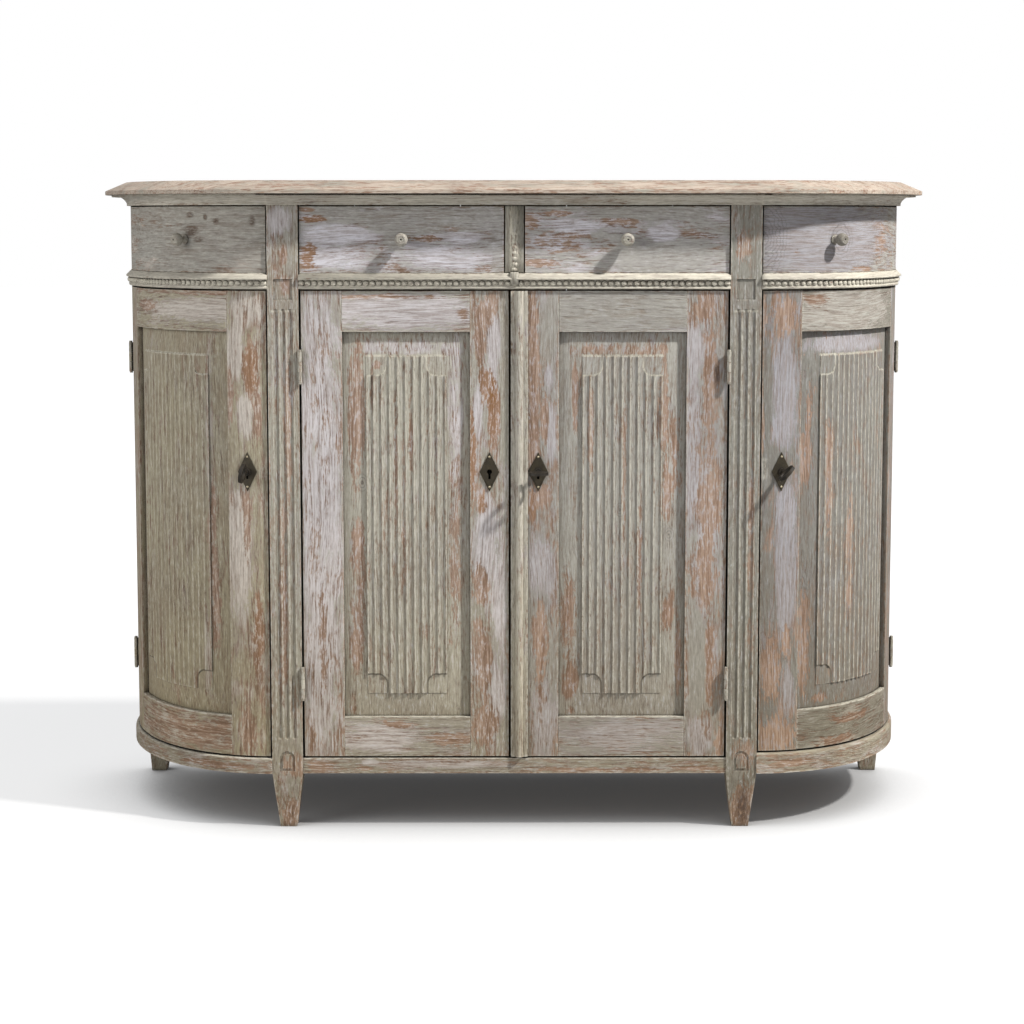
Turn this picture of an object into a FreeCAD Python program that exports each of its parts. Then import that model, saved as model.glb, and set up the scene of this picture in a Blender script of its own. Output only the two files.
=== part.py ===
import FreeCAD, Part
import math
import os

# Painted sideboard with a flat middle and two rounded ends.
# Four drawers stand over four doors. Lengths are millimetres, +Z is up,
# the front faces -Y, and the origin is on the floor under the middle of the top.

# Plan of the case
centre_half = 326.0  # half of the clear width between the front posts
post_w = 47.0
post_d = 48.0
post_proud = 4.0  # how far the posts stand in front of doors and drawers
end_reach = 250.0  # sideways half axis of the end curve, from the post
end_depth = 345.0  # backward half axis of the end curve
side_run = 45.0  # straight side between the end curve and the rear post
rear_w = 44.0
rear_d = 48.0
back_t = 12.0
top_overhang = 40.0
door_end_deg = 79.0  # place along the end curve where its door and drawer stop

# Heights
leg_h = 86.0
base_h = 24.0
base_rise_right = 8.0  # the right end rail is this much taller
door_h = 720.0
bead_h = 24.0
drawer_h = 102.0
cornice_h = 17.0
top_t = 20.0

# Clearances
fit = 0.2  # glued and seated pieces
door_gap = 2.5
meet_gap = 3.0
drawer_gap = 2.0
pin_play = 0.05
knuckle_gap = 0.3
knuckle_clear = 0.4  # knuckles in front of the face behind them
strike_gap = 0.3  # round the shot bolt
overrun = 5.0  # how far a cutter runs past the face it cuts

# Carcass boards
board_t = 18.0
partition_t = 20.0
rail_d = 25.0  # depth of the base and bead rails behind the door face
base_proud = 6.0
base_centre_proud = 2.0
base_round = 6.0
back_count = 7
back_joint = 1.0
shelf_z = 340.0  # shelf top above the bottom board
shelf_setback = 30.0
cleat = 20.0
guide_h = 30.0
muntin_w = 28.0
muntin_bead_r = 4.0

# Cornice and top
cornice_back = 25.0
cornice_foot = 6.0
cornice_foot_h = 4.0
cornice_reach = 30.0
cornice_lip_h = 3.0
cove_in_share = 0.25
cove_up_share = 0.72
top_lip = 6.0
top_slope = 33.0  # width of the sloped border of the top
slope_bury = 5.0

# Bead moulding between doors and drawers
bead_proud = 9.0
bead_fillet_n = 3.0
bead_fillet_h = 4.0
bead_r = 5.0
bead_crown_n = 1.0

# Posts and legs
foot_w = 25.0
rear_foot_inset = 6.0
square_w = 28.0
square_h = 31.0
square_deep = 2.0
post_flutes = 3
post_flute_pitch = 11.0
post_flute_w = 7.5
post_flute_deep = 2.0
post_flute_low = 33.0  # flute ends above the base rail top
post_flute_high = 33.0  # flute ends below the door opening top
arch_w = 23.0
arch_h = 31.0
arch_lift = 4.0
arch_deep = 1.2
arch_band = 4.0

# Doors
door_t = 22.0
hinge_stile_w = 62.0
end_hinge_stile_w = 84.0
lock_stile_w = 66.0
end_lock_stile_w = 62.0
meet_shift = 7.0  # the meeting line stands this far left of the middle
rail_w = 62.0
tenon_t = 8.0
tenon_len = 25.0
tenon_inset = 12.0
groove_d = 8.0
panel_play = 1.0
tongue_t = 7.0
panel_sunk = 9.0  # panel edge below the frame face
margin_w = 36.0
margin_rise = 4.0
field_rise = 3.0
field_bury = 2.0
flute_pitch = 12.0
flute_share = 0.74  # flute width in its pitch
flute_deep = 2.0
corner_w = 30.0  # sunk squares in the field's corners
corner_round = 15.0
corner_deep = 2.4
astragal_w = 26.0
astragal_t = 4.0
astragal_bead_r = 6.0

# Hinges
hinge_gap = 3.0
hinge_l = 47.0
hinge_inset = 117.0
leaf_t = 1.2
leaf_w = 18.0
knuckle_r = 3.2
pin_r = 1.6
pin_head_r = 2.6
pin_head_h = 2.5

# Escutcheons, locks and keys
lock_z = 443.0  # keyhole above the base rail top
keyhole_share = 1 / 3  # middle keyhole across the stile beside the astragal
plate_w = 30.0
plate_h = 60.0
plate_t = 1.6
keyhole_r = 4.0
keyhole_slot_w = 3.6
keyhole_slot_h = 11.0
pin_hole_r = 1.0
pin_hole_inset = 7.0
case_t = 12.0
case_wall = 1.5
case_tail = 14.0
case_setback = 2.5
bit_r = 9.0
bit_t = 2.2
lock_play = 1.0
bolt_h = 8.0
bolt_t = 6.0
bolt_l = 28.0
bolt_travel = 7.0
shank_r = 2.8
key_tip_r = 2.0
collar_r = 5.5
collar_t = 5.0
shank_out = 16.0
bow_w = 30.0
bow_l = 24.0
bow_t = 5.0
bow_rim = 5.0
left_key_deg = -12.0
middle_key_deg = 90.0
right_key_deg = 45.0

# Drawers
front_t = 20.0
side_t = 12.0
centre_back_gap = 28.0  # room between a middle drawer and the back boards
side_drop = 8.0  # sides stop this far under the front's top edge
run_gap = 0.5
bottom_t = 8.0
bottom_lift = 6.0
bottom_groove = 5.0
end_back_gap = 5.0  # room between an end drawer and the rear post
knob_l = 27.0
knob_r = 10.0
knob_base_r = 6.5
knob_foot_h = 2.5
knob_neck_base_r = 5.2
knob_neck_r = 3.6
dowel_r = 3.2
dowel_len = 16.0
left_knob_deg = 31.0
right_knob_deg = 27.0

# Places worked out from the sizes above
body_depth = end_depth + side_run + rear_d + back_t
face_y = (top_overhang - body_depth) / 2
post_x = centre_half + post_w
curve_y = face_y + end_depth
back_y = face_y + body_depth
back_in = back_y - back_t
rear_y = curve_y + side_run
side_x = post_x + end_reach
post_front = face_y - post_proud
post_back = post_front + post_d
post_mid = centre_half + post_w / 2
part_in = post_mid - partition_t / 2
part_out = post_mid + partition_t / 2
z_base = leg_h + base_h
z_door = z_base + door_h
z_drawer = z_door + bead_h
z_cornice = z_drawer + drawer_h
z_top = z_cornice + cornice_h
z_lock = z_base + lock_z
door_end = math.radians(door_end_deg)
quarter = math.pi / 2
arc_steps = 200
meet_x = -meet_shift
tongue_back = -panel_sunk - tongue_t
margin_n = margin_rise - panel_sunk
field_n = margin_n + field_rise
V = FreeCAD.Vector
UP = V(0, 0, 1)
OUT = V(0, -1, 0)


class Straight:
    """Front line between the posts. A station is an x position."""

    def point(self, s, n, z=0):
        return V(s, face_y - n, z)

    def edge(self, n, s0, s1, z=0):
        return Part.makeLine(self.point(s0, n, z), self.point(s1, n, z))

    def turn(self, s):
        return 0

    def cut_turn(self, s):
        return 0

    def along(self, s, length):
        return s + length

    def length(self, s0, s1):
        return s1 - s0


class EndCurve:
    """Quarter ellipse of the right end. A station is an angle from the post."""

    def point(self, t, n, z=0):
        x = post_x + (end_reach + n) * math.sin(t)
        y = curve_y - (end_depth + n) * math.cos(t)
        return V(x, y, z)

    def edge(self, n, t0, t1, z=0):
        side = self.point(quarter, n, z)
        front = self.point(0, n, z)
        middle = V(post_x, curve_y, z)
        if end_depth >= end_reach:
            whole = Part.Ellipse(front, side, middle)
            return Part.ArcOfEllipse(whole, t0, t1).toShape()
        whole = Part.Ellipse(side, front, middle)
        return Part.ArcOfEllipse(whole, quarter - t1, quarter - t0).toShape()

    def speed(self, t):
        return math.hypot(end_reach * math.cos(t), end_depth * math.sin(t))

    def turn(self, t):
        return math.atan2(end_depth * math.sin(t), end_reach * math.cos(t))

    def cut_turn(self, t):
        return t

    def along(self, t, length):
        for _ in range(arc_steps):
            t += length / arc_steps / self.speed(t)
        return t

    def length(self, t0, t1):
        step = (t1 - t0) / arc_steps
        return sum(self.speed(t0 + step * (i + 0.5)) * step for i in range(arc_steps))


FRONT = Straight()
END = EndCurve()
stile_start = END.along(door_end, hinge_gap)


def block(x0, x1, y0, y1, z0, z1):
    return Part.makeBox(x1 - x0, y1 - y0, z1 - z0, V(x0, y0, z0))


def local_block(u0, u1, n0, n1, z0, z1):
    """Box in a piece's own frame: u along the front, n outwards, z up."""
    return block(u0, u1, -n1, -n0, z0, z1)


def place(shape, path, s, n, z, turn):
    """Put a piece made in its own frame on the front at station s."""
    spot = FreeCAD.Placement(path.point(s, n, z), FreeCAD.Rotation(UP, math.degrees(turn)))
    moved = shape.copy()
    moved.Placement = spot.multiply(moved.Placement)
    return moved


def mirrored(shape):
    return shape.mirror(V(0, 0, 0), V(1, 0, 0))


def loop(edges):
    return Part.Wire(Part.__sortEdges__(edges))


def outline(points):
    return Part.makePolygon(points + points[:1])


def lifted(wire, z0, z1):
    """Extrude a flat outline drawn at height z0 up to z1."""
    return Part.Face(wire).extrude(V(0, 0, z1 - z0))


def band(path, s0, s1, n0, n1, z=0):
    """Plan outline between two offsets and two stations."""
    ends = [Part.makeLine(path.point(s, n0, z), path.point(s, n1, z)) for s in (s0, s1)]
    return loop([path.edge(n1, s0, s1, z), ends[1], path.edge(n0, s0, s1, z), ends[0]])


def slab(path, s0, s1, n0, n1, z0, z1):
    return lifted(band(path, s0, s1, n0, n1, z0), z0, z1)


def tail_band(t0, n0, n1, tail, z0, z1):
    """Band of the right end from t0 to the widest place and straight back by tail."""
    rear = [V(side_x + n, curve_y + tail, z0) for n in (n0, n1)]
    edges = [END.edge(n1, t0, quarter, z0), END.edge(n0, t0, quarter, z0)]
    edges.append(Part.makeLine(END.point(quarter, n1, z0), rear[1]))
    edges.append(Part.makeLine(END.point(quarter, n0, z0), rear[0]))
    edges.append(Part.makeLine(rear[0], rear[1]))
    edges.append(Part.makeLine(END.point(t0, n0, z0), END.point(t0, n1, z0)))
    return lifted(loop(edges), z0, z1)


def end_board(front, z0, z1):
    """Board of the right end bay, its curved edge the given depth behind the face."""
    edges = [END.edge(-front, 0, quarter, z0)]
    corners = [
        END.point(quarter, -front, z0),
        V(side_x - front, rear_y, z0),
        V(side_x - rear_w, rear_y, z0),
        V(side_x - rear_w, back_in, z0),
        V(part_out, back_in, z0),
        V(part_out, post_back, z0),
        V(post_x, post_back, z0),
        END.point(0, -front, z0),
    ]
    for a, b in zip(corners, corners[1:]):
        edges.append(Part.makeLine(a, b))
    return lifted(loop(edges), z0, z1)


def inside_end(n, z0, z1):
    """Room inside the right end curve, used to trim what fits behind it."""
    far = curve_y + side_run + rear_d
    corners = [
        END.point(quarter, n, z0),
        V(side_x + n, far, z0),
        V(post_x, far, z0),
        END.point(0, n, z0),
    ]
    edges = [END.edge(n, 0, quarter, z0)]
    for a, b in zip(corners, corners[1:]):
        edges.append(Part.makeLine(a, b))
    return lifted(loop(edges), z0, z1)


def pair(shape):
    """A right piece and its mirror image."""
    return [shape, mirrored(shape)]


def groove_radius(width, depth):
    """Radius of the round tool that cuts a groove of this width and depth."""
    return (width * width / 4 + depth * depth) / (2 * depth)


def taper(x0, x1, y0, y1, fx0, fx1, fy0, fy1):
    """Leg between a rectangle under the case and a smaller one on the floor."""
    top = [V(x0, y0, leg_h), V(x1, y0, leg_h), V(x1, y1, leg_h), V(x0, y1, leg_h)]
    low = [V(fx0, fy0, 0), V(fx1, fy0, 0), V(fx1, fy1, 0), V(fx0, fy1, 0)]
    return Part.makeLoft([outline(low), outline(top)], True, True)


def arch(width, height, depth):
    """Round-headed tablet in a piece's own frame, sunk to the given depth."""
    r = width / 2
    head = Part.makeCylinder(r, depth + overrun, V(0, depth, height - r), OUT)
    return head.fuse(local_block(-r, r, -depth, overrun, 0, height - r))


def post_ornament():
    """Cutters for the sunk square, the flutes and the arched tablet of a front post."""
    cutters = []
    half = square_w / 2
    low = z_door - square_h / 2
    cutters.append(local_block(-half, half, -square_deep, overrun, low, low + square_h))
    r = groove_radius(post_flute_w, post_flute_deep)
    z0 = z_base + post_flute_low
    z1 = z_door - post_flute_high
    for i in range(post_flutes):
        u = (i - (post_flutes - 1) / 2) * post_flute_pitch
        axis = -(r - post_flute_deep)
        stick = Part.makeCylinder(r, z1 - z0, V(u, axis, z0))
        balls = [Part.makeSphere(r, V(u, axis, z)) for z in (z0, z1)]
        cutters.append(stick.fuse(balls))
    ring = arch(arch_w, arch_h, arch_deep)
    core = arch(arch_w - 2 * arch_band, arch_h - 2 * arch_band, arch_deep)
    core.translate(V(0, 0, arch_band))
    ring = ring.cut(core)
    ring.translate(V(0, 0, leg_h + arch_lift))
    cutters.append(ring)
    return cutters


def front_post():
    """Right front post with its tapered leg, without the lock mortise."""
    body = block(centre_half, post_x, post_front, post_back, leg_h, z_cornice)
    half = foot_w / 2
    mid_y = (post_front + post_back) / 2
    leg = taper(
        centre_half, post_x, post_front, post_back,
        post_mid - half, post_mid + half, mid_y - half, mid_y + half,
    )
    cutters = [place(c, FRONT, post_mid, post_proud, 0, 0) for c in post_ornament()]
    return body.fuse(leg).cut(cutters).removeSplitter()


def rear_post():
    body = block(side_x - rear_w, side_x, rear_y, back_in, leg_h, z_top)
    foot_out = side_x - rear_foot_inset
    mid_y = (rear_y + back_in) / 2
    leg = taper(
        side_x - rear_w, side_x, rear_y, back_in,
        foot_out - foot_w, foot_out, mid_y - foot_w / 2, mid_y + foot_w / 2,
    )
    return body.fuse(leg).removeSplitter()


def rounded(shape, z, radius, n):
    """Round the long outer edges at height z on the offset n."""
    edges = []
    for edge in shape.Edges:
        box = edge.BoundBox
        level = abs(box.ZMin - z) < fit and abs(box.ZMax - z) < fit
        outer = box.XMax > side_x + n - fit or box.YMin < face_y - n + fit
        across = box.XLength < rail_d + n + fit and box.YLength < fit
        into = box.XLength < fit and box.XMax < post_x + fit
        if level and outer and not across and not into:
            edges.append(edge)
    return shape.makeFillet(radius, edges)


def base_rails():
    """Rails under the doors, the right end one a little taller."""
    centre = slab(FRONT, -centre_half, centre_half, -rail_d, base_centre_proud, leg_h, z_base)
    ends = []
    for top in (z_base + base_rise_right, z_base):
        rail = tail_band(0, -rail_d, base_proud, side_run, leg_h, top)
        ends.append(rounded(rail, top, base_round, base_proud))
    return [centre, ends[0], mirrored(ends[1])]


def bead_rails():
    centre = slab(FRONT, -centre_half, centre_half, -rail_d, 0, z_door, z_drawer)
    end = slab(END, 0, stile_start, -rail_d, 0, z_door, z_drawer)
    return [centre] + pair(end)


def profile_wire(x, points, arcs):
    """Moulding section on the plane at x from (n, z) points.

    The key of an entry in arcs is the index of the point where an arc starts,
    and its value is the point that the arc passes through.
    """
    spots = [V(x, face_y - n, z) for n, z in points]
    edges = []
    for i, spot in enumerate(spots):
        after = spots[(i + 1) % len(spots)]
        if i in arcs:
            n, z = arcs[i]
            edges.append(Part.Arc(spot, V(x, face_y - n, z), after).toShape())
        else:
            edges.append(Part.makeLine(spot, after))
    return Part.Wire(edges)


def run_moulding(points, arcs, half, tail):
    """Straight moulding across the front and one swept round each end."""
    straight = Part.Face(profile_wire(-half, points, arcs)).extrude(V(2 * half, 0, 0))
    curve = END.edge(0, 0, quarter)
    side = Part.makeLine(END.point(quarter, 0), V(side_x, curve_y + tail, 0))
    path = Part.Wire([curve, side])
    swept = path.makePipeShell([profile_wire(post_x, points, arcs)], True, False)
    return [straight] + pair(swept)


def bead_mouldings():
    """Half-round moulding with a fillet below and a sloped crown above."""
    top = bead_fillet_h + 2 * bead_r
    points = [
        (0, z_door),
        (bead_fillet_n, z_door),
        (bead_fillet_n, z_door + bead_fillet_h),
        (bead_fillet_n, z_door + top),
        (bead_crown_n, z_drawer),
        (0, z_drawer),
    ]
    arcs = {2: (bead_proud, z_door + bead_fillet_h + bead_r)}
    return run_moulding(points, arcs, centre_half, side_run + rear_d)


def cornice():
    """Fillet and cove under the top, with the rail behind them."""
    cove_z = cornice_h - cornice_lip_h
    points = [
        (-cornice_back, z_cornice),
        (cornice_foot, z_cornice),
        (cornice_foot, z_cornice + cornice_foot_h),
        (cornice_reach, z_cornice + cove_z),
        (cornice_reach, z_top),
        (-cornice_back, z_top),
    ]
    deep = cornice_foot + (cornice_reach - cornice_foot) * cove_in_share
    high = z_cornice + cornice_foot_h + (cove_z - cornice_foot_h) * cove_up_share
    return run_moulding(points, {2: (deep, high)}, post_x, side_run)


def top_board():
    """Board with a thin lip and a border that slopes up to the flat part."""
    slope_n = top_overhang - top_slope
    core_n = slope_n - slope_bury
    right = END.edge(core_n, 0, quarter, z_top)
    front = FRONT.edge(core_n, -post_x, post_x, z_top)
    corner = V(side_x + core_n, back_y, z_top)
    side = Part.makeLine(END.point(quarter, core_n, z_top), corner)
    back = Part.makeLine(V(-corner.x, back_y, z_top), corner)
    wire = loop([front, back] + pair(right) + pair(side))
    core = lifted(wire, z_top, z_top + top_t)
    points = [
        (core_n - slope_bury, z_top),
        (top_overhang, z_top),
        (top_overhang, z_top + top_lip),
        (slope_n, z_top + top_t),
        (core_n - slope_bury, z_top + top_t),
    ]
    border = run_moulding(points, {}, post_x, back_y - curve_y)
    return core.fuse(border).removeSplitter()


def side_stiles():
    """Fixed sides behind the end doors, between base rail and cornice."""
    right = tail_band(stile_start, -door_t, 0, side_run, z_base + base_rise_right, z_cornice)
    left = tail_band(stile_start, -door_t, 0, side_run, z_base, z_cornice)
    return [right, mirrored(left)]


def partition():
    return block(part_in, part_out, post_back, back_in, z_base - board_t, z_top)


def bay_boards(front, z1, thickness):
    """One board in each of the three bays, with its top at z1."""
    z0 = z1 - thickness
    centre = block(-part_in, part_in, max(face_y + front, post_back), back_in, z0, z1)
    if face_y + front < post_back:
        lip = block(-centre_half, centre_half, face_y + front, post_back, z0, z1)
        centre = centre.fuse(lip).removeSplitter()
    return [centre] + pair(end_board(front, z0, z1))


def shelf_cleats():
    z1 = z_base + shelf_z - board_t
    z0 = z1 - cleat
    y0 = post_back
    inner = block(part_in - cleat, part_in, y0, back_in, z0, z1)
    outer = block(part_out, part_out + cleat, y0, back_in, z0, z1)
    rear = block(part_out + cleat, side_x - rear_w, back_in - cleat, back_in, z0, z1)
    return pair(inner) + pair(outer) + pair(rear)


def drawer_guides():
    z1 = z_drawer + guide_h
    half = muntin_w / 2
    middle = block(-half, half, face_y + rail_d, back_in, z_drawer, z1)
    inner = block(centre_half, part_in, post_back, back_in, z_drawer, z1)
    outer = block(part_out, post_x, post_back, back_in, z_drawer, z1)
    return [middle] + pair(inner) + pair(outer)


def drawer_muntin():
    """Upright between the middle drawers with its half-round strip."""
    half = muntin_w / 2
    post = slab(FRONT, -half, half, -rail_d, 0, z_drawer, z_cornice)
    strip = Part.makeCylinder(muntin_bead_r, drawer_h, FRONT.point(0, 0, z_drawer), UP, 180)
    strip.rotate(FRONT.point(0, 0, z_drawer), UP, 180)
    return [post, strip]


def back_boards():
    width = (2 * side_x - (back_count - 1) * back_joint) / back_count
    boards = []
    for i in range(back_count):
        x0 = -side_x + i * (width + back_joint)
        boards.append(block(x0, x0 + width, back_in, back_y, z_base - board_t, z_top))
    return boards


def tenon_tongue(path, a, b, z0, z1, grow):
    """Tongue through a rail from a to b and on into both stiles, grown for a mortise."""
    length = tenon_len + grow
    mid = -door_t / 2
    half = tenon_t / 2 + grow
    return slab(
        path, path.along(a, -length), path.along(b, length),
        mid - half, mid + half, z0 + tenon_inset - grow, z1 - tenon_inset + grow,
    )


def door_frame(path, s0, s1, z0, z1, lock_w, hinge_w):
    """Two stiles and two rails, mortised, tenoned and grooved for the panel."""
    a = path.along(s0, lock_w)
    b = path.along(s1, -hinge_w)
    stiles = [
        slab(path, s0, a, -door_t, 0, z0, z1),
        slab(path, b, s1, -door_t, 0, z0, z1),
    ]
    groove = slab(
        path, path.along(a, -groove_d), path.along(b, groove_d),
        tongue_back - fit, -panel_sunk + fit, z0 + rail_w - groove_d, z1 - rail_w + groove_d,
    )
    rails = []
    for low in (z0, z1 - rail_w):
        rail = slab(path, a, b, -door_t, 0, low, low + rail_w)
        rail = rail.fuse(tenon_tongue(path, a, b, low, low + rail_w, 0))
        rails.append(rail.cut(groove))
        mortise = tenon_tongue(path, a, b, low, low + rail_w, fit)
        stiles = [stile.cut(mortise) for stile in stiles]
    stiles = [stile.cut(groove) for stile in stiles]
    return stiles, rails, (a, b, z0 + rail_w, z1 - rail_w)


def margin_solid(path, a, b, z0, z1, fa, fb, fz0, fz1):
    """Border that slopes up from the frame to the raised field on all four sides."""
    low_n = -panel_sunk
    back = low_n - tongue_t / 2
    sides = [
        path.edge(margin_n, fa, fb, z0),
        Part.makeLine(path.point(fb, margin_n, z0), path.point(b, low_n, z0)),
        Part.makeLine(path.point(b, low_n, z0), path.point(b, back, z0)),
        path.edge(back, a, b, z0),
        Part.makeLine(path.point(a, back, z0), path.point(a, low_n, z0)),
        Part.makeLine(path.point(a, low_n, z0), path.point(fa, margin_n, z0)),
    ]
    across = lifted(loop(sides), z0, z1)
    levels = ((z0, low_n), (fz0, margin_n), (fz1, margin_n), (z1, low_n))
    wires = [band(path, a, b, back, n, z) for z, n in levels]
    return across.common(Part.makeLoft(wires, True, True))


def corner_cutter(side):
    """Sunk square with rounded corners, run out past the field's edge on one side."""
    near = corner_w / 2
    far = near + corner_round + overrun
    u0, u1 = (-far, near) if side < 0 else (-near, far)
    tool = local_block(u0, u1, -corner_deep, overrun, -corner_w, corner_w)
    outward = [edge for edge in tool.Edges if edge.BoundBox.YLength > corner_deep]
    return tool.makeFillet(corner_round, outward)


def reeded_field(path, fa, fb, fz0, fz1):
    """Raised field with upright flutes and a sunk square in each corner."""
    field = slab(path, fa, fb, margin_n - field_bury, field_n, fz0, fz1)
    length = path.length(fa, fb)
    count = max(1, round(length / flute_pitch))
    pitch = length / count
    r = groove_radius(pitch * flute_share, flute_deep)
    flutes = []
    for i in range(count):
        s = path.along(fa, pitch * (i + 1 / 2))
        middle = path.point(s, field_n + r - flute_deep, fz0 - overrun)
        flutes.append(Part.makeCylinder(r, fz1 - fz0 + 2 * overrun, middle))
    field = field.cut(flutes)
    for s, side in ((fa, -1), (fb, 1)):
        middle = path.along(s, -side * corner_w / 2)
        for z in (fz0, fz1):
            corner = place(corner_cutter(side), path, middle, field_n, z, path.turn(middle))
            field = field.cut(corner)
    return field


def door_panel(path, opening):
    """Panel with its edge in the frame's grooves and a reeded field."""
    a, b, z0, z1 = opening
    reach = groove_d - panel_play
    tongue = slab(
        path, path.along(a, -reach), path.along(b, reach),
        tongue_back, -panel_sunk, z0 - reach, z1 + reach,
    )
    ma = path.along(a, fit)
    mb = path.along(b, -fit)
    fa = path.along(a, margin_w)
    fb = path.along(b, -margin_w)
    inner = (fa, fb, z0 + margin_w, z1 - margin_w)
    margin = margin_solid(path, ma, mb, z0 + fit, z1 - fit, *inner)
    field = reeded_field(path, *inner)
    return tongue.fuse([margin, field])


def keyhole(n0, n1):
    """Cutter of the keyhole in a lock's own frame."""
    hole = Part.makeCylinder(keyhole_r, n1 - n0, V(0, -n0, 0), OUT)
    half = keyhole_slot_w / 2
    return hole.fuse(local_block(-half, half, n0, n1, -keyhole_slot_h, 0))


def escutcheon(path, s):
    """Diamond plate that follows the stile, with a keyhole and two pin holes."""
    w = plate_w / 2
    h = plate_h / 2
    plate = slab(path, path.along(s, -plate_w), path.along(s, plate_w), fit, fit + plate_t,
                 z_lock - plate_h, z_lock + plate_h)
    deep = plate_t + overrun
    corners = [V(-w, deep, 0), V(0, deep, -h), V(w, deep, 0), V(0, deep, h)]
    diamond = Part.Face(outline(corners)).extrude(OUT * (2 * deep))
    tools = [keyhole(-deep, deep)]
    for z in (pin_hole_inset - h, h - pin_hole_inset):
        tools.append(Part.makeCylinder(pin_hole_r, 2 * deep, V(0, deep, z), OUT))
    spot = (path, s, 0, z_lock, path.turn(s))
    return plate.common(place(diamond, *spot)).cut([place(tool, *spot) for tool in tools])


def lock_box(inset, grow, wall):
    """Outer box of a lock case, grown by a clearance and shrunk by a wall."""
    low = -(bit_r + lock_play + case_wall)
    high = bit_r + lock_play + bolt_h + lock_play + case_wall
    change = grow - wall
    back = -(door_t + case_t) / 2
    front = -(door_t - case_t) / 2
    return local_block(
        case_setback - inset - change, case_tail + change,
        back - change, front + change, low - change, high + change,
    )


def lock_bolt(inset, grow, shift):
    """Bolt in a lock's own frame, grown by a clearance and shot out by shift."""
    u0 = case_setback - inset - shift
    z0 = bit_r + lock_play
    mid = -door_t / 2
    half = bolt_t / 2 + grow
    return local_block(u0 - grow, u0 + bolt_l + grow, mid - half, mid + half,
                       z0 - grow, z0 + bolt_h + grow)


def lock_case(inset):
    back = -(door_t + case_t) / 2
    case = lock_box(inset, 0, 0).cut(lock_box(inset, 0, case_wall))
    bearing = Part.makeCylinder(key_tip_r + pin_play, case_wall + overrun,
                                V(0, overrun - back, 0), OUT)
    slot = lock_bolt(inset, fit, overrun)
    return case.cut([slot, keyhole(-door_t / 2, 0), bearing])


def lock_pocket(inset):
    """Mortise in the stile for the case, open at the edge, with the keyhole."""
    room = lock_box(inset, fit, 0)
    back = -(door_t + case_t) / 2 - fit
    front = -(door_t - case_t) / 2 + fit
    box = room.BoundBox
    mouth = local_block(-inset - overrun, case_tail, back, front, box.ZMin, box.ZMax)
    return room.fuse([mouth, keyhole(-door_t / 2, overrun)])


def key(turn_deg):
    """Key with a ring bow, turned to the angle that it stands at."""
    back = -(door_t + case_t) / 2
    floor = back + case_wall + fit
    tip = Part.makeCylinder(key_tip_r, case_wall + shank_r, V(0, -back, 0), OUT)
    shank = Part.makeCylinder(shank_r, shank_out - floor + bow_rim / 2, V(0, -floor, 0), OUT)
    collar_n = plate_t + lock_play
    collar = Part.makeCylinder(collar_r, collar_t, V(0, -collar_n, 0), OUT)
    front = -(door_t - case_t) / 2 - case_wall - fit
    half = bit_t / 2
    bit = local_block(-half, half, floor, front, -bit_r, 0)
    middle = shank_out + bow_l / 2
    bow = ring_bow(middle)
    whole = tip.fuse([shank, collar, bit, bow]).removeSplitter()
    whole.rotate(V(0, 0, 0), V(0, 1, 0), turn_deg)
    return whole


def ring_bow(n):
    """Oval ring of the key, standing upright in the key's own frame."""
    shapes = []
    for less in (0, bow_rim):
        spot = V(-bow_t / 2, -n, 0)
        tall = spot + V(0, 0, bow_w / 2 - less)
        wide = spot + V(0, bow_l / 2 - less, 0)
        ring = Part.Wire(Part.Ellipse(tall, wide, spot).toShape())
        shapes.append(Part.Face(ring).extrude(V(bow_t, 0, 0)))
    return shapes[0].cut(shapes[1])


def hinge_parts(n_axis):
    """Fixed leaf, door leaf and pin of a butt hinge in the hinge's own frame."""
    third = hinge_l / 3
    outer = [(0, third), (2 * third, hinge_l)]
    inner = [(third + knuckle_gap, 2 * third - knuckle_gap)]
    seat = hinge_gap / 2 - fit
    leaves = []
    for side, own, other in ((1, outer, inner), (-1, inner, outer)):
        u0, u1 = sorted((side * (seat - leaf_t), side * seat))
        leaf = local_block(u0, u1, -leaf_w, n_axis, 0, hinge_l)
        room = knuckle_r + knuckle_gap
        clears = []
        for z0, z1 in other:
            clears.append(barrel(room, n_axis, z0 - knuckle_gap, z1 + knuckle_gap))
        leaf = leaf.cut(clears)
        leaf = leaf.fuse([barrel(knuckle_r, n_axis, z0, z1) for z0, z1 in own])
        leaves.append(leaf.cut(barrel(pin_r + pin_play, n_axis, -overrun, hinge_l + overrun)))
    pin = barrel(pin_r, n_axis, -pin_head_h, hinge_l + pin_head_h)
    heads = [
        barrel(pin_head_r, n_axis, -pin_head_h, 0),
        barrel(pin_head_r, n_axis, hinge_l, hinge_l + pin_head_h),
    ]
    return leaves[0], leaves[1], pin.fuse(heads).removeSplitter()


def barrel(radius, n, z0, z1):
    return Part.makeCylinder(radius, z1 - z0, V(0, -n, z0))


def door_hinges(path, s1, proud):
    """Both hinges of a door, on the gap behind station s1."""
    n_axis = proud + knuckle_r + knuckle_clear
    middle = path.along(s1, hinge_gap / 2)
    turn = path.cut_turn(middle)
    fixed = []
    moving = []
    for z in (z_base + hinge_inset, z_door - hinge_inset):
        leaf, flap, pin = hinge_parts(n_axis)
        low = z - hinge_l / 2
        fixed += [place(p, path, middle, 0, low, turn) for p in (leaf, pin)]
        moving.append(place(flap, path, middle, 0, low, turn))
    return fixed, moving


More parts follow.
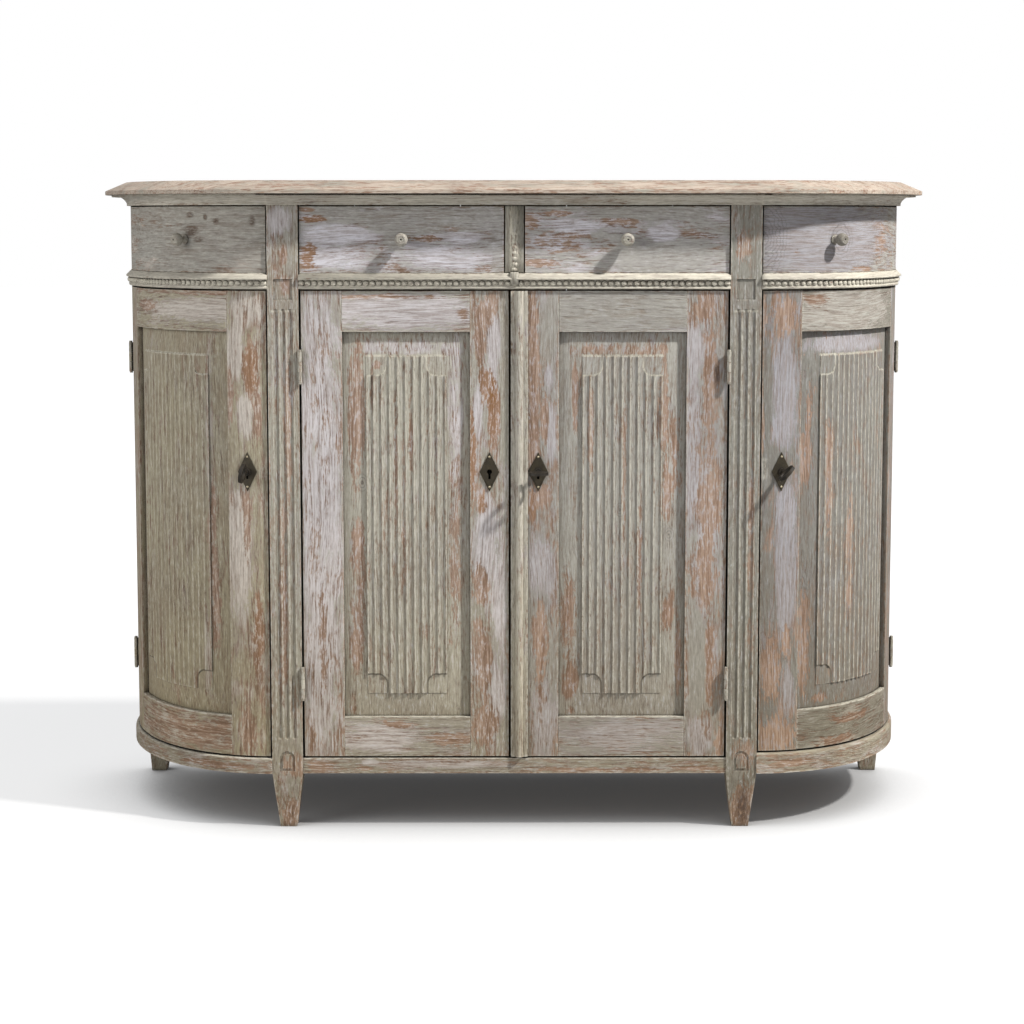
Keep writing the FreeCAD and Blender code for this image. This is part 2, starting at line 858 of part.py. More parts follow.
def astragal(s0, z0, z1):
    """Strip on the meeting stile: a half-round between two flats."""
    flat = slab(FRONT, s0, s0 + astragal_w, 0, astragal_t, z0, z1)
    axis = FRONT.point(s0 + astragal_w / 2, astragal_t, z0)
    bead = Part.makeCylinder(astragal_bead_r, z1 - z0, axis)
    keep = slab(FRONT, s0, s0 + astragal_w, 0, astragal_t + astragal_bead_r, z0, z1)
    return flat.fuse(bead.common(keep)).removeSplitter()


def lock_set(path, s, inset, turn_deg):
    """Case, bolt and key of one lock, its pocket and the room its shot bolt needs."""
    shapes = [lock_case(inset), lock_bolt(inset, 0, 0), key(turn_deg), lock_pocket(inset)]
    shapes.append(lock_bolt(inset, strike_gap, bolt_travel))
    return [place(shape, path, s, 0, z_lock, path.turn(s)) for shape in shapes]


def knob(path, s, z):
    """Turned knob: a foot, a tapered neck and a ball, with a dowel into the front."""
    foot = Part.makeCylinder(knob_base_r, knob_foot_h, V(0, 0, 0), OUT)
    ball_n = knob_l - knob_r
    neck = Part.makeCone(knob_neck_base_r, knob_neck_r, ball_n, V(0, 0, 0), OUT)
    ball = Part.makeSphere(knob_r, V(0, -ball_n, 0))
    dowel = Part.makeCylinder(dowel_r, dowel_len + knob_foot_h / 2, V(0, dowel_len, 0), OUT)
    whole = foot.fuse([neck, ball, dowel]).removeSplitter()
    return place(whole, path, s, fit, z, path.turn(s))


def knob_hole(path, s, z):
    tool = Part.makeCylinder(dowel_r + fit, dowel_len + overrun, V(0, dowel_len, 0), OUT)
    return place(tool, path, s, fit, z, path.turn(s))


def drawer_levels():
    """Heights of a drawer: front, sides and the groove for its bottom."""
    low = z_drawer + run_gap
    high = z_cornice - drawer_gap
    floor = low + bottom_lift
    return low, high, floor


def centre_drawer():
    """Front, box and knob of the middle drawer on the right."""
    low, high, floor = drawer_levels()
    x0 = muntin_w / 2 + drawer_gap
    x1 = centre_half - drawer_gap
    front = slab(FRONT, x0, x1, -front_t, 0, low, high)
    y0 = face_y + front_t
    y1 = back_in - centre_back_gap
    sides = [block(x, x + side_t, y0, y1, low, high - side_drop) for x in (x0, x1 - side_t)]
    back = block(x0 + side_t, x1 - side_t, y1 - side_t, y1, floor + bottom_t, high - side_drop)
    deep = bottom_groove
    bottom = block(x0 + side_t - deep, x1 - side_t + deep, y0 - deep, y1, floor, floor + bottom_t)
    slot = block(
        x0 + side_t - deep - fit, x1 - side_t + deep + fit,
        y0 - deep - fit, y1 + overrun, floor - fit, floor + bottom_t,
    )
    middle = (x0 + x1) / 2
    z = (low + high) / 2
    front = front.cut([slot, knob_hole(FRONT, middle, z)])
    box = [side.cut(slot) for side in sides] + [back, bottom]
    return front, box, knob(FRONT, middle, z)


def end_drawer(knob_deg):
    """Front, box and knob of the curved drawer on the right."""
    low, high, floor = drawer_levels()
    t0 = END.along(0, drawer_gap)
    t1 = END.along(door_end, -fit)
    front = slab(END, t0, t1, -front_t, 0, low, high)
    x0 = post_x + drawer_gap
    x1 = post_x + (end_reach - door_t) * math.sin(door_end) - drawer_gap
    y1 = rear_y - end_back_gap
    room = inside_end(-front_t - fit, low, high)
    sides = []
    for x in (x0, x1 - side_t):
        side = block(x, x + side_t, face_y, y1, low, high - side_drop)
        sides.append(side.common(room))
    back = block(x0 + side_t, x1 - side_t, y1 - side_t, y1, floor + bottom_t, high - side_drop)
    deep = bottom_groove
    plate = block(x0 + side_t - deep, x1 - side_t + deep, face_y, y1, floor, floor + bottom_t)
    bottom = plate.common(inside_end(deep - front_t, low, high))
    slot = block(x0 + side_t - deep - fit, x1 - side_t + deep + fit, face_y, y1 + overrun,
                 floor - fit, floor + bottom_t)
    slot = slot.common(inside_end(deep + fit - front_t, low, high))
    t = math.radians(knob_deg)
    z = (low + high) / 2
    front = front.cut([slot, knob_hole(END, t, z)])
    box = [side.cut(slot) for side in sides] + [back, bottom]
    return front, box, knob(END, t, z)


nodes = {}


def keep(name, shapes):
    """Collect the solids of one node."""
    nodes[name] = shapes if isinstance(shapes, list) else [shapes]


def keep_drawer(name, parts, left):
    front, box, turned = parts
    if left:
        front = mirrored(front)
        box = [mirrored(piece) for piece in box]
        turned = mirrored(turned)
    keep(name + "_front", front)
    keep(name + "_box", box)
    keep(name + "_knob", turned)


def build_door(name, path, s0, s1, z0, lock_w, hinge_w, inset, turn_deg, proud, left):
    """Make a door in its right-hand form and keep it, mirrored for a left one.

    Returns the fixed hinge pieces and the room for the shot bolt.
    """
    z0 += door_gap
    stiles, rails, opening = door_frame(path, s0, s1, z0, z_door - door_gap, lock_w, hinge_w)
    s = path.along(s0, inset)
    pieces = {"panel": [door_panel(path, opening)], "escutcheon": [escutcheon(path, s)]}
    fixed, moving = door_hinges(path, s1, proud)
    strike = None
    if turn_deg is None:
        stiles[0] = stiles[0].cut(place(keyhole(-door_t / 2, overrun), path, s, 0, z_lock, 0))
    else:
        case, bolt, turned, pocket, strike = lock_set(path, s, inset, turn_deg)
        stiles[0] = stiles[0].cut(pocket)
        pieces["lock_case"] = [case]
        pieces["lock_bolt"] = [bolt]
        pieces["key"] = [turned]
    pieces["stiles"] = stiles
    pieces["rails"] = rails
    pieces["hinge_leaves"] = moving
    for part, shapes in pieces.items():
        keep(name + "_" + part, [mirrored(x) for x in shapes] if left else shapes)
    fixed = [mirrored(x) for x in fixed] if left else fixed
    return fixed, mirrored(strike) if left and strike else strike


def build_doors():
    """All four doors. Returns the fixed hinge pieces and the bolts' rooms."""
    centre_end = centre_half - hinge_gap
    end_start = END.along(0, door_gap)
    right_start = meet_x + meet_gap / 2
    left_start = meet_shift + meet_gap / 2
    right_lock_w = lock_stile_w + meet_shift
    left_lock_w = lock_stile_w - meet_shift
    visible = right_lock_w - astragal_w
    right_inset = astragal_w + visible * keyhole_share
    end_inset = end_lock_stile_w / 2
    fixed = []
    hinges, strike = build_door(
        "centre_right_door", FRONT, right_start, centre_end, z_base, right_lock_w,
        hinge_stile_w, right_inset, middle_key_deg, post_proud, False,
    )
    fixed += hinges
    strikes = {"meeting": strike}
    hinges, _ = build_door(
        "centre_left_door", FRONT, left_start, centre_end, z_base, left_lock_w,
        hinge_stile_w, left_lock_w / 2, None, post_proud, True,
    )
    fixed += hinges
    hinges, strikes["right"] = build_door(
        "right_end_door", END, end_start, door_end, z_base + base_rise_right, end_lock_stile_w,
        end_hinge_stile_w, end_inset, right_key_deg, 0, False,
    )
    fixed += hinges
    hinges, strikes["left"] = build_door(
        "left_end_door", END, end_start, door_end, z_base, end_lock_stile_w,
        end_hinge_stile_w, end_inset, left_key_deg, 0, True,
    )
    fixed += hinges
    strip = astragal(right_start, z_base + door_gap, z_door - door_gap)
    keep("centre_right_door_astragal", strip)
    stiles = nodes["centre_left_door_stiles"]
    nodes["centre_left_door_stiles"] = [stile.cut(strikes["meeting"]) for stile in stiles]
    return fixed, strikes


def build_carcass(fixed, strikes):
    keep("top_board", top_board())
    keep("cornice", cornice())
    post = front_post()
    keep("front_post_right", post.cut(strikes["right"]))
    keep("front_post_left", mirrored(post).cut(strikes["left"]))
    keep("rear_posts", pair(rear_post()))
    keep("side_stiles", side_stiles())
    keep("partitions", pair(partition()))
    keep("bottom_boards", bay_boards(rail_d + fit, z_base, board_t))
    keep("drawer_decks", bay_boards(rail_d + fit, z_drawer, board_t))
    keep("shelves", bay_boards(door_t + shelf_setback, z_base + shelf_z, board_t))
    keep("shelf_cleats", shelf_cleats())
    keep("drawer_guides", drawer_guides())
    keep("base_rails", base_rails())
    keep("bead_rails", bead_rails())
    keep("bead_mouldings", bead_mouldings())
    keep("drawer_muntin", drawer_muntin())
    keep("back_boards", back_boards())
    keep("hinge_leaves_fixed", fixed)


def build_drawers():
    keep_drawer("centre_right_drawer", centre_drawer(), False)
    keep_drawer("centre_left_drawer", centre_drawer(), True)
    keep_drawer("right_end_drawer", end_drawer(right_knob_deg), False)
    keep_drawer("left_end_drawer", end_drawer(left_knob_deg), True)


def save():
    os.makedirs("parts", exist_ok=True)
    for name, shapes in nodes.items():
        solids = [solid for shape in shapes for solid in shape.Solids]
        whole = solids[0] if len(solids) == 1 else Part.makeCompound(solids)
        if not whole.isValid():
            print("not valid:", name)
        whole.exportStep("parts/" + name + ".step")
    print(len(nodes), "nodes")


build_carcass(*build_doors())
build_drawers()
save()
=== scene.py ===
# %% [markdown]
# A painted sideboard with a flat middle and two rounded ends. The shapes were made as solids in CAD
# and are loaded here as a fixed frame, so this lesson is about finish: scraped paint over wood,
# carved pearls, turned knobs, dark metal, light and camera. Everything is in metres, with the
# front facing -Y and the floor at Z = 0.

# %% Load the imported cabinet
import math
import random
import bpy
import bmesh
from mathutils import Matrix, Vector


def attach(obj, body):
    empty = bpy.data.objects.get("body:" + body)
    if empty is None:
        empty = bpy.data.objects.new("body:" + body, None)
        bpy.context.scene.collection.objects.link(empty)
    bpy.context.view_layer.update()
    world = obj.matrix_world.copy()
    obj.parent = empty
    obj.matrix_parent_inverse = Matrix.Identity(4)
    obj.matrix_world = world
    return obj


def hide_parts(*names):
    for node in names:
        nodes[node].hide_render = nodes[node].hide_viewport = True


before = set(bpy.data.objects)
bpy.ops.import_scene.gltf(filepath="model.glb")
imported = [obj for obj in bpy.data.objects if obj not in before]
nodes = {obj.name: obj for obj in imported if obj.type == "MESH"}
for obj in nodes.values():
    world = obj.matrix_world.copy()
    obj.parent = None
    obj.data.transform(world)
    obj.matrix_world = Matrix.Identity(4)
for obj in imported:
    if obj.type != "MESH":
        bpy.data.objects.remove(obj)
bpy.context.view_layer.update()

# %% [markdown]
# The camera comes first, because every later look is judged through it. It could be pointed with a
# Track To constraint, but a written-down place and turn is easier to compare with a photograph: a
# long lens, a little above the top board, tilted slightly down.

# %% Camera
LENS_MM = 87.36
SENSOR_MM = 36.0
CAMERA_PLACE = Vector((-0.0135, -3.967, 0.936))
CAMERA_TILT = 0.1176
CAMERA_YAW = 0.0026
SEEN_FAR = 60.0

camera = bpy.data.objects.new("camera", bpy.data.cameras.new("camera"))
camera.data.lens = LENS_MM
camera.data.sensor_width = SENSOR_MM
camera.data.clip_end = SEEN_FAR
camera.location = CAMERA_PLACE
camera.rotation_euler = (math.radians(90) - CAMERA_TILT, 0.0, -CAMERA_YAW)
bpy.context.scene.collection.objects.link(camera)
bpy.context.scene.camera = camera
bpy.context.scene.view_settings.view_transform = "Standard"
print("camera at", tuple(round(v, 3) for v in camera.location))

# %% [markdown]
# Many small node trees follow, so a few helpers keep them readable. `wire` adds one shader node and
# fills its inputs: a socket makes a link, anything else becomes the input's own value. `calc` and
# `vector` are the same for the Math and Vector Math nodes. `new_group` makes an empty node group
# with named sockets.


# %% Helpers for shader nodes
def wire(tree, kind, inputs=None, **settings):
    node = tree.nodes.new("ShaderNode" + kind)
    for key, value in settings.items():
        setattr(node, key, value)
    for key, value in (inputs or {}).items():
        if isinstance(value, bpy.types.NodeSocket):
            tree.links.new(value, node.inputs[key])
        else:
            node.inputs[key].default_value = value
    return node


def calc(tree, operation, *values, clamp=False):
    node = wire(tree, "Math", dict(enumerate(values)), operation=operation, use_clamp=clamp)
    return node.outputs[0]


def vector(tree, operation, *values):
    """Vector Math; a length or a dot product comes out as a value."""
    node = wire(tree, "VectorMath", dict(enumerate(values)), operation=operation)
    return node.outputs["Value" if operation in ("LENGTH", "DOT_PRODUCT") else "Vector"]


def split(tree, value):
    """X, Y and Z of a vector."""
    return wire(tree, "SeparateXYZ", {0: value}).outputs


def ramp(tree, value, low, high, to_low=0.0, to_high=1.0):
    """Smooth step of a value between two bounds."""
    sockets = {"Value": value, "From Min": low, "From Max": high, "To Min": to_low, "To Max": to_high}
    return wire(tree, "MapRange", sockets, interpolation_type="SMOOTHSTEP").outputs[0]


def blend(tree, share, first, second, mode="MIX"):
    """Mix two colours."""
    node = wire(tree, "Mix", {0: share, 6: first, 7: second}, data_type="RGBA", blend_type=mode)
    return node.outputs[2]


SOCKETS = {"value": "NodeSocketFloat", "vector": "NodeSocketVector", "colour": "NodeSocketColor"}


def new_group(name, inputs, outputs):
    """Node group with sockets given as {name: (kind, default)} and {name: kind}."""
    tree = bpy.data.node_groups.new(name, "ShaderNodeTree")
    for label, (kind, default) in inputs.items():
        socket = tree.interface.new_socket(label, in_out="INPUT", socket_type=SOCKETS[kind])
        socket.default_value = default
    for label, kind in outputs.items():
        tree.interface.new_socket(label, in_out="OUTPUT", socket_type=SOCKETS[kind])
    return tree, tree.nodes.new("NodeGroupInput").outputs, tree.nodes.new("NodeGroupOutput").inputs


def use_group(tree, group, inputs=None):
    return wire(tree, "Group", inputs, node_tree=group).outputs


def new_material(name):
    material = bpy.data.materials.new(name)
    material.use_nodes = True
    return material, material.node_tree, material.node_tree.nodes["Principled BSDF"]


def feed(tree, shader, colour, roughness, bump):
    """Link a finish to the inputs of its shader."""
    for label, socket in (("Base Color", colour), ("Roughness", roughness), ("Normal", bump.outputs[0])):
        tree.links.new(socket, shader.inputs[label])


def dress(piece, material):
    piece.data.materials.clear()
    piece.data.materials.append(material)


def tint(red, green, blue):
    """Colour written as 0 to 255 on screen, turned into the linear values that shaders use."""
    def linear(c):
        c = c / 255.0
        return c / 12.92 if c <= 0.04045 else ((c + 0.055) / 1.055) ** 2.4
    return (linear(red), linear(green), linear(blue), 1.0)


print("shader helpers ready")

# %% [markdown]
# Wood grain runs along each board, also round the curved ends. Object coordinates would cut straight
# through a curve, so a first group bends space: U runs along the front and round the ends, N is the
# depth in from the face and Z is the height. On the flat middle, U is simply X. The group also gives
# the direction straight out from the front.

# %% Space that follows the front
POST_X = 0.373
END_REACH = 0.250
END_DEPTH = 0.345
CURVE_Y = 0.140
FACE_Y = -0.205
QUARTER = math.pi / 2
ARC_STEPS = 400
LEAST_AHEAD = 0.0005


def end_station(t):
    """Point and outward direction on the right end curve."""
    point = Vector((POST_X + END_REACH * math.sin(t), CURVE_Y - END_DEPTH * math.cos(t), 0))
    outward = Vector((END_DEPTH * math.sin(t), -END_REACH * math.cos(t), 0)).normalized()
    return point, outward


def arc_length(t):
    """Length of an end's curve from the post round to an angle, summed in small steps."""
    step = t / ARC_STEPS
    middles = [step * (i + 0.5) for i in range(ARC_STEPS)]
    return step * sum(math.hypot(END_REACH * math.cos(a), END_DEPTH * math.sin(a)) for a in middles)


# Shader nodes need a short formula: t * (first + second * t^2 + third * t^4), true at three angles
ARC_ANGLES = [QUARTER * share for share in (1 / 3, 2 / 3, 1)]
powers = Matrix([(t, t ** 3, t ** 5) for t in ARC_ANGLES])
ARC = powers.inverted() @ Vector([arc_length(t) for t in ARC_ANGLES])


def round_end(t):
    return t * (ARC[0] + t * t * (ARC[1] + t * t * ARC[2]))


front_space, _, out = new_group("front_space", {}, {"Place": "vector", "Outward": "vector"})
spot = split(front_space, wire(front_space, "TexCoord").outputs["Object"])
reach = calc(front_space, "ABSOLUTE", spot[0])
over = calc(front_space, "MAXIMUM", calc(front_space, "SUBTRACT", reach, POST_X), 0.0)
over = calc(front_space, "DIVIDE", over, END_REACH)
behind = calc(front_space, "SUBTRACT", CURVE_Y, spot[1])
ahead = calc(front_space, "DIVIDE", calc(front_space, "MAXIMUM", behind, LEAST_AHEAD), END_DEPTH)
angle = calc(front_space, "ARCTAN2", over, ahead)
tail = calc(front_space, "MAXIMUM", calc(front_space, "MULTIPLY", behind, -1.0), 0.0)
square = calc(front_space, "MULTIPLY", angle, angle)
arc = calc(front_space, "MULTIPLY_ADD", square, ARC[2], ARC[1])
arc = calc(front_space, "MULTIPLY_ADD", square, arc, ARC[0])
along = calc(front_space, "ADD", calc(front_space, "MINIMUM", reach, POST_X),
             calc(front_space, "MULTIPLY", angle, arc))
along = calc(front_space, "ADD", along, tail)
along = calc(front_space, "MULTIPLY", along, calc(front_space, "SIGN", spot[0]))
radius = calc(front_space, "SQRT", calc(front_space, "ADD", calc(front_space, "MULTIPLY", over, over),
                                        calc(front_space, "MULTIPLY", ahead, ahead)))
depth = calc(front_space, "MULTIPLY", radius, END_DEPTH)
place = wire(front_space, "CombineXYZ", {0: along, 1: depth, 2: spot[2]}).outputs[0]
front_space.links.new(place, out["Place"])
aside = calc(front_space, "DIVIDE", over, END_REACH)
aside = calc(front_space, "MULTIPLY", aside, calc(front_space, "SIGN", spot[0]))
forward = calc(front_space, "DIVIDE", ahead, -END_DEPTH)
outward = wire(front_space, "CombineXYZ", {0: aside, 1: forward}).outputs[0]
outward = vector(front_space, "NORMALIZE", outward)
front_space.links.new(outward, out["Outward"])
print("front_space nodes:", len(front_space.nodes))

# %% [markdown]
# The grain group makes all the patterns that a board needs from one stretched space. Noise that is
# squeezed across the board and drawn out along it gives fibres and growth bands. Less stretched noise
# gives the worn patches, and plain noise gives small chips. A Wave texture could draw rings too, but
# noise never repeats, which suits old wood.

# %% Grain group
PATTERNS = ("Fibre", "Band", "Patch", "Under", "Chip", "Cloud")
SEED_SHIFT = (3.71, 1.93, 5.37)
WANDER = 0.035
NOISE_MEAN = 0.5

grain, into, out = new_group(
    "board_grain",
    {"Place": ("vector", (0, 0, 0)), "Upright": ("value", 1.0), "Inward": ("value", 0.0),
     "Seed": ("value", 0.0)},
    dict.fromkeys(PATTERNS, "value"),
)
uvw = split(grain, into["Place"])
across = wire(grain, "Mix", {0: into["Upright"], 2: uvw[2], 3: uvw[0]}).outputs[0]
length = wire(grain, "Mix", {0: into["Upright"], 2: uvw[0], 3: uvw[2]}).outputs[0]
inner = wire(grain, "Mix", {0: into["Inward"], 2: uvw[1], 3: length}).outputs[0]
length = wire(grain, "Mix", {0: into["Inward"], 2: length, 3: uvw[1]}).outputs[0]
board = wire(grain, "CombineXYZ", {0: across, 1: inner, 2: length}).outputs[0]
shift = wire(grain, "VectorMath", {0: SEED_SHIFT, "Scale": into["Seed"]}, operation="SCALE").outputs[0]
board = vector(grain, "ADD", board, shift)


def stretched(scale, detail, roughness, offset=0.0):
    """Noise on the board, with its own scale across, in depth and along."""
    where = vector(grain, "MULTIPLY_ADD", board, scale, (offset, offset, offset))
    sockets = {"Vector": where, "Scale": 1.0, "Detail": detail, "Roughness": roughness}
    return wire(grain, "TexNoise", sockets).outputs[0]


wander = calc(grain, "SUBTRACT", stretched((9, 9, 3), 1.0, 0.5, 7.0), NOISE_MEAN)
wander = calc(grain, "MULTIPLY", wander, WANDER)
wander = wire(grain, "CombineXYZ", {0: wander}).outputs[0]
board = vector(grain, "ADD", board, wander)
patterns = {
    "Fibre": stretched((520, 520, 26), 4.0, 0.74),
    "Band": stretched((170, 170, 4.0), 4.0, 0.66, 2.0),
    "Patch": stretched((52, 52, 15.0), 6.0, 0.72, 11.0),
    "Under": stretched((66, 66, 19.0), 6.0, 0.72, 19.0),
    "Chip": stretched((330, 330, 95), 4.0, 0.7, 5.0),
    "Cloud": stretched((7, 7, 5), 2.0, 0.5, 31.0),
}
for label, socket in patterns.items():
    grain.links.new(socket, out[label])
print("board_grain patterns:", ", ".join(patterns))

# %% [markdown]
# Paint wears off where hands and cloths reach, on edges, and stays in hollows. The Ambient Occlusion
# node can measure both: turned inside it finds sharp edges, and the normal way it finds hollows.

# %% Edge and hollow group
EDGE_REACH = 0.004
HOLLOW_REACH = 0.012
FEELERS = 6
EDGE_RANGE = (0.92, 0.45)
HOLLOW_RANGE = (0.95, 0.35)

relief, into, out = new_group(
    "edges_and_hollows",
    {"Edge Reach": ("value", EDGE_REACH), "Hollow Reach": ("value", HOLLOW_REACH)},
    {"Edge": "value", "Hollow": "value"},
)
edge = wire(relief, "AmbientOcclusion", {"Distance": into["Edge Reach"]}, samples=FEELERS, inside=True,
            only_local=True)
hollow = wire(relief, "AmbientOcclusion", {"Distance": into["Hollow Reach"]}, samples=FEELERS)
relief.links.new(ramp(relief, edge.outputs["AO"], *EDGE_RANGE), out["Edge"])
relief.links.new(ramp(relief, hollow.outputs["AO"], *HOLLOW_RANGE), out["Hollow"])
print("edges_and_hollows ready")

# %% [markdown]
# The scraped finish has three layers: bare wood, a pale lilac undercoat and a sage top coat. Each
# layer has an amount; where the amount plus the grain noise falls below zero, the layer is gone. This
# gives edges that follow the fibres, as a scraper leaves them. It could be done with painted masks,
# but those need image files.

# %% Scraped paint group
SAGE = tint(158, 154, 141)
LILAC = tint(191, 187, 188)
CREAM = tint(208, 203, 187)
WOOD_LIGHT = tint(170, 147, 130)
WOOD_DARK = tint(136, 109, 90)
AMBER = tint(140, 102, 69)
RING_GREY = tint(112, 108, 108)
DIRT_AND_SHADE = tint(74, 68, 56)
SHADE_AND_SOOT_BLACK = tint(24, 21, 18)
BRUISE = tint(78, 60, 48)
LOW_TINT = (0.78, 0.71, 0.57, 1.0)

# Ranges that a pattern is read over, and what they become where that isn't 0 to 1
SAGE_RANGE = (-0.30, 0.36)
LILAC_RANGE = (-0.28, 0.34)
RING_RANGE = (0.30, 0.66)
RESIDUE_RANGE = (0.50, 0.64, 0.0, 0.55)
THIN_RANGE = (0.62, 0.36)
SHEER_RANGE = (0.60, 0.34)
CLOUD_SHADE = (0.30, 0.70, 0.92, 1.08)
FIBRE_SHADE = (0.28, 0.72, 0.76, 1.20)
CHIP_SHADE = (0.30, 0.70, 0.90, 1.10)
SCRATCH_RANGE = (0.33, 0.22, 0.0, 0.45)
FLECK_RANGE = (0.62, 0.76, 0.0, 0.55)
CREST_RANGE = (0.40, 0.56)
LINE_RANGE = (0.36, 0.60, 0.12, 0.75)
BRUISE_RANGE = (0.34, 0.56)
HOLLOW_DARK_RANGE = (0.30, 0.75, 0.25, 0.50)
GAP_SHADE_RANGE = (0.80, 1.0, 0.0, 0.9)
MATT_RANGE = (0.0, 1.0, 0.70, 0.82)
# How strongly a pattern works on a layer
STREAK_SHARES = {"Fibre": 1.6, "Chip": 1.5, "Band": 0.6}
RUBBED_OFF = 0.30
KEPT_IN = 0.45
PATCH_SHARE = 3.0
UNDER_SHARE = 3.2
LILAC_STREAKS = 1.15
RING_FIBRE = 0.8
RESIDUE_FIBRE = 0.8
SHEER_CLOUD = 0.5
SCRATCH_CHIP = 0.7
FLECK_FIBRE = 1.2
SAGE_RAISE, LILAC_RAISE, FIBRE_RAISE, BAND_RAISE = 0.45, 0.35, 0.7, 0.3
# How much of each change shows
STAIN_SHARE = 0.65
THIN_SHARE = 0.42
SHEER_SHARE = 0.34
RINGS_SHARE = 0.62
BRUISE_SHARE = 0.85
RIM_SHADE_SHARE = 0.6

pattern_inputs = dict.fromkeys(PATTERNS, ("value", NOISE_MEAN))
AMOUNTS = ("Edge", "Hollow", "Sage Left", "Lilac Left", "Bruised", "Stained", "Crest", "Carved", "Sunk",
           "Rings", "Age")
amount_inputs = dict.fromkeys(AMOUNTS, ("value", 0.0))
colour_inputs = {"Sage": ("colour", SAGE), "Lilac": ("colour", LILAC), "Wood": ("colour", WOOD_LIGHT),
                 "Dark Wood": ("colour", WOOD_DARK)}
coat, into, out = new_group("scraped_paint", {**pattern_inputs, **amount_inputs, **colour_inputs},
                            {"Colour": "colour", "Roughness": "value", "Height": "value"})


def centred(label, share):
    return calc(coat, "MULTIPLY", calc(coat, "SUBTRACT", into[label], NOISE_MEAN), share)


def total(*values):
    result = values[0]
    for value in values[1:]:
        result = calc(coat, "ADD", result, value)
    return result


streaks = total(*(centred(label, share) for label, share in STREAK_SHARES.items()))
rubbed = calc(coat, "MULTIPLY", into["Edge"], -RUBBED_OFF)
kept = calc(coat, "MULTIPLY", into["Hollow"], KEPT_IN)
sage_left = total(into["Sage Left"], centred("Patch", PATCH_SHARE), streaks, rubbed, kept)
lilac_left = total(into["Lilac Left"], centred("Under", UNDER_SHARE),
                   calc(coat, "MULTIPLY", streaks, LILAC_STREAKS), rubbed)
sage_mask = ramp(coat, sage_left, *SAGE_RANGE)
lilac_mask = ramp(coat, lilac_left, *LILAC_RANGE)

ring = ramp(coat, total(into["Band"], centred("Fibre", RING_FIBRE)), *RING_RANGE)
wood = blend(coat, ring, into["Dark Wood"], into["Wood"])
wood = blend(coat, calc(coat, "MULTIPLY", into["Stained"], STAIN_SHARE), wood, AMBER)
residue = ramp(coat, total(into["Chip"], centred("Fibre", RESIDUE_FIBRE)), *RESIDUE_RANGE)
wood = blend(coat, residue, wood, into["Lilac"])
line = ramp(coat, into["Fibre"], *THIN_RANGE)
lilac = blend(coat, calc(coat, "MULTIPLY", line, THIN_SHARE), into["Lilac"], wood)
sheer = ramp(coat, total(into["Fibre"], centred("Cloud", SHEER_CLOUD)), *SHEER_RANGE)
sheer = calc(coat, "MULTIPLY", sheer, SHEER_SHARE)
under = blend(coat, lilac_mask, wood, lilac)
sage = blend(coat, sheer, into["Sage"], under)
colour = blend(coat, sage_mask, under, sage)
colour = blend(coat, calc(coat, "MULTIPLY", into["Rings"], RINGS_SHARE), colour, RING_GREY)
shade = calc(coat, "MULTIPLY", ramp(coat, into["Cloud"], *CLOUD_SHADE),
             ramp(coat, into["Fibre"], *FIBRE_SHADE))
shade = calc(coat, "MULTIPLY", shade, ramp(coat, into["Chip"], *CHIP_SHADE))
colour = wire(coat, "HueSaturation", {"Value": shade, "Color": colour}).outputs[0]
# Darker and yellower towards the bottom.
colour = blend(coat, into["Age"], colour, LOW_TINT, mode="MULTIPLY")
scratch = ramp(coat, total(into["Fibre"], centred("Chip", SCRATCH_CHIP)), *SCRATCH_RANGE)
colour = blend(coat, scratch, colour, DIRT_AND_SHADE)
fleck = ramp(coat, total(into["Chip"], centred("Fibre", FLECK_FIBRE)), *FLECK_RANGE)
colour = blend(coat, fleck, colour, into["Lilac"])
crest = calc(coat, "MULTIPLY", into["Edge"], ramp(coat, into["Chip"], *CREST_RANGE))
colour = blend(coat, calc(coat, "MULTIPLY", crest, into["Crest"]), colour, CREAM)
# Pale lines on the carving: worn ridges, and painted highlights on upper rims and edges.
line = calc(coat, "MULTIPLY", into["Carved"], ramp(coat, into["Chip"], *LINE_RANGE))
colour = blend(coat, line, colour, CREAM)
bruise = calc(coat, "MULTIPLY", into["Bruised"], ramp(coat, into["Chip"], *BRUISE_RANGE))
colour = blend(coat, calc(coat, "MULTIPLY", bruise, BRUISE_SHARE), colour, BRUISE)
# Hollows and joins are darkened, partly dirt and partly painted shade; the lower corner rims get painted
# shade too.
hollow_dark = calc(coat, "MULTIPLY", into["Hollow"], ramp(coat, into["Patch"], *HOLLOW_DARK_RANGE))
hollow_dark = calc(coat, "MAXIMUM", hollow_dark, calc(coat, "MULTIPLY", into["Sunk"], RIM_SHADE_SHARE))
colour = blend(coat, hollow_dark, colour, DIRT_AND_SHADE)
# Painted shade: the deepest hollows, the gaps between doors, drawers and frame, are painted near black.
colour = blend(coat, ramp(coat, into["Hollow"], *GAP_SHADE_RANGE), colour, SHADE_AND_SOOT_BLACK)
coat.links.new(colour, out["Colour"])
coat.links.new(ramp(coat, sage_mask, *MATT_RANGE), out["Roughness"])
raises = ((sage_mask, SAGE_RAISE), (lilac_mask, LILAC_RAISE), (into["Fibre"], FIBRE_RAISE),
          (into["Band"], BAND_RAISE))
height = total(*(calc(coat, "MULTIPLY", layer, share) for layer, share in raises))
coat.links.new(height, out["Height"])
print("scraped_paint nodes:", len(coat.nodes))

# %% [markdown]
# Some places were scraped harder than others: around the locks, on the drawer ends. A spot group
# gives a ragged oval anywhere on the front, and each spot lowers or raises a layer's amount there.

# %% Scraped spot group
FRAY_SHARE = 3.2
SPOT_RANGE = (1.5, 0.5)


def oval_distance(tree, into):
    """Distance from an oval's middle, which is 1 on its rim."""
    away = vector(tree, "SUBTRACT", into["Place"], into["Centre"])
    away = vector(tree, "MULTIPLY", away, (1, 0, 1))
    return vector(tree, "LENGTH", vector(tree, "DIVIDE", away, into["Reach"]))


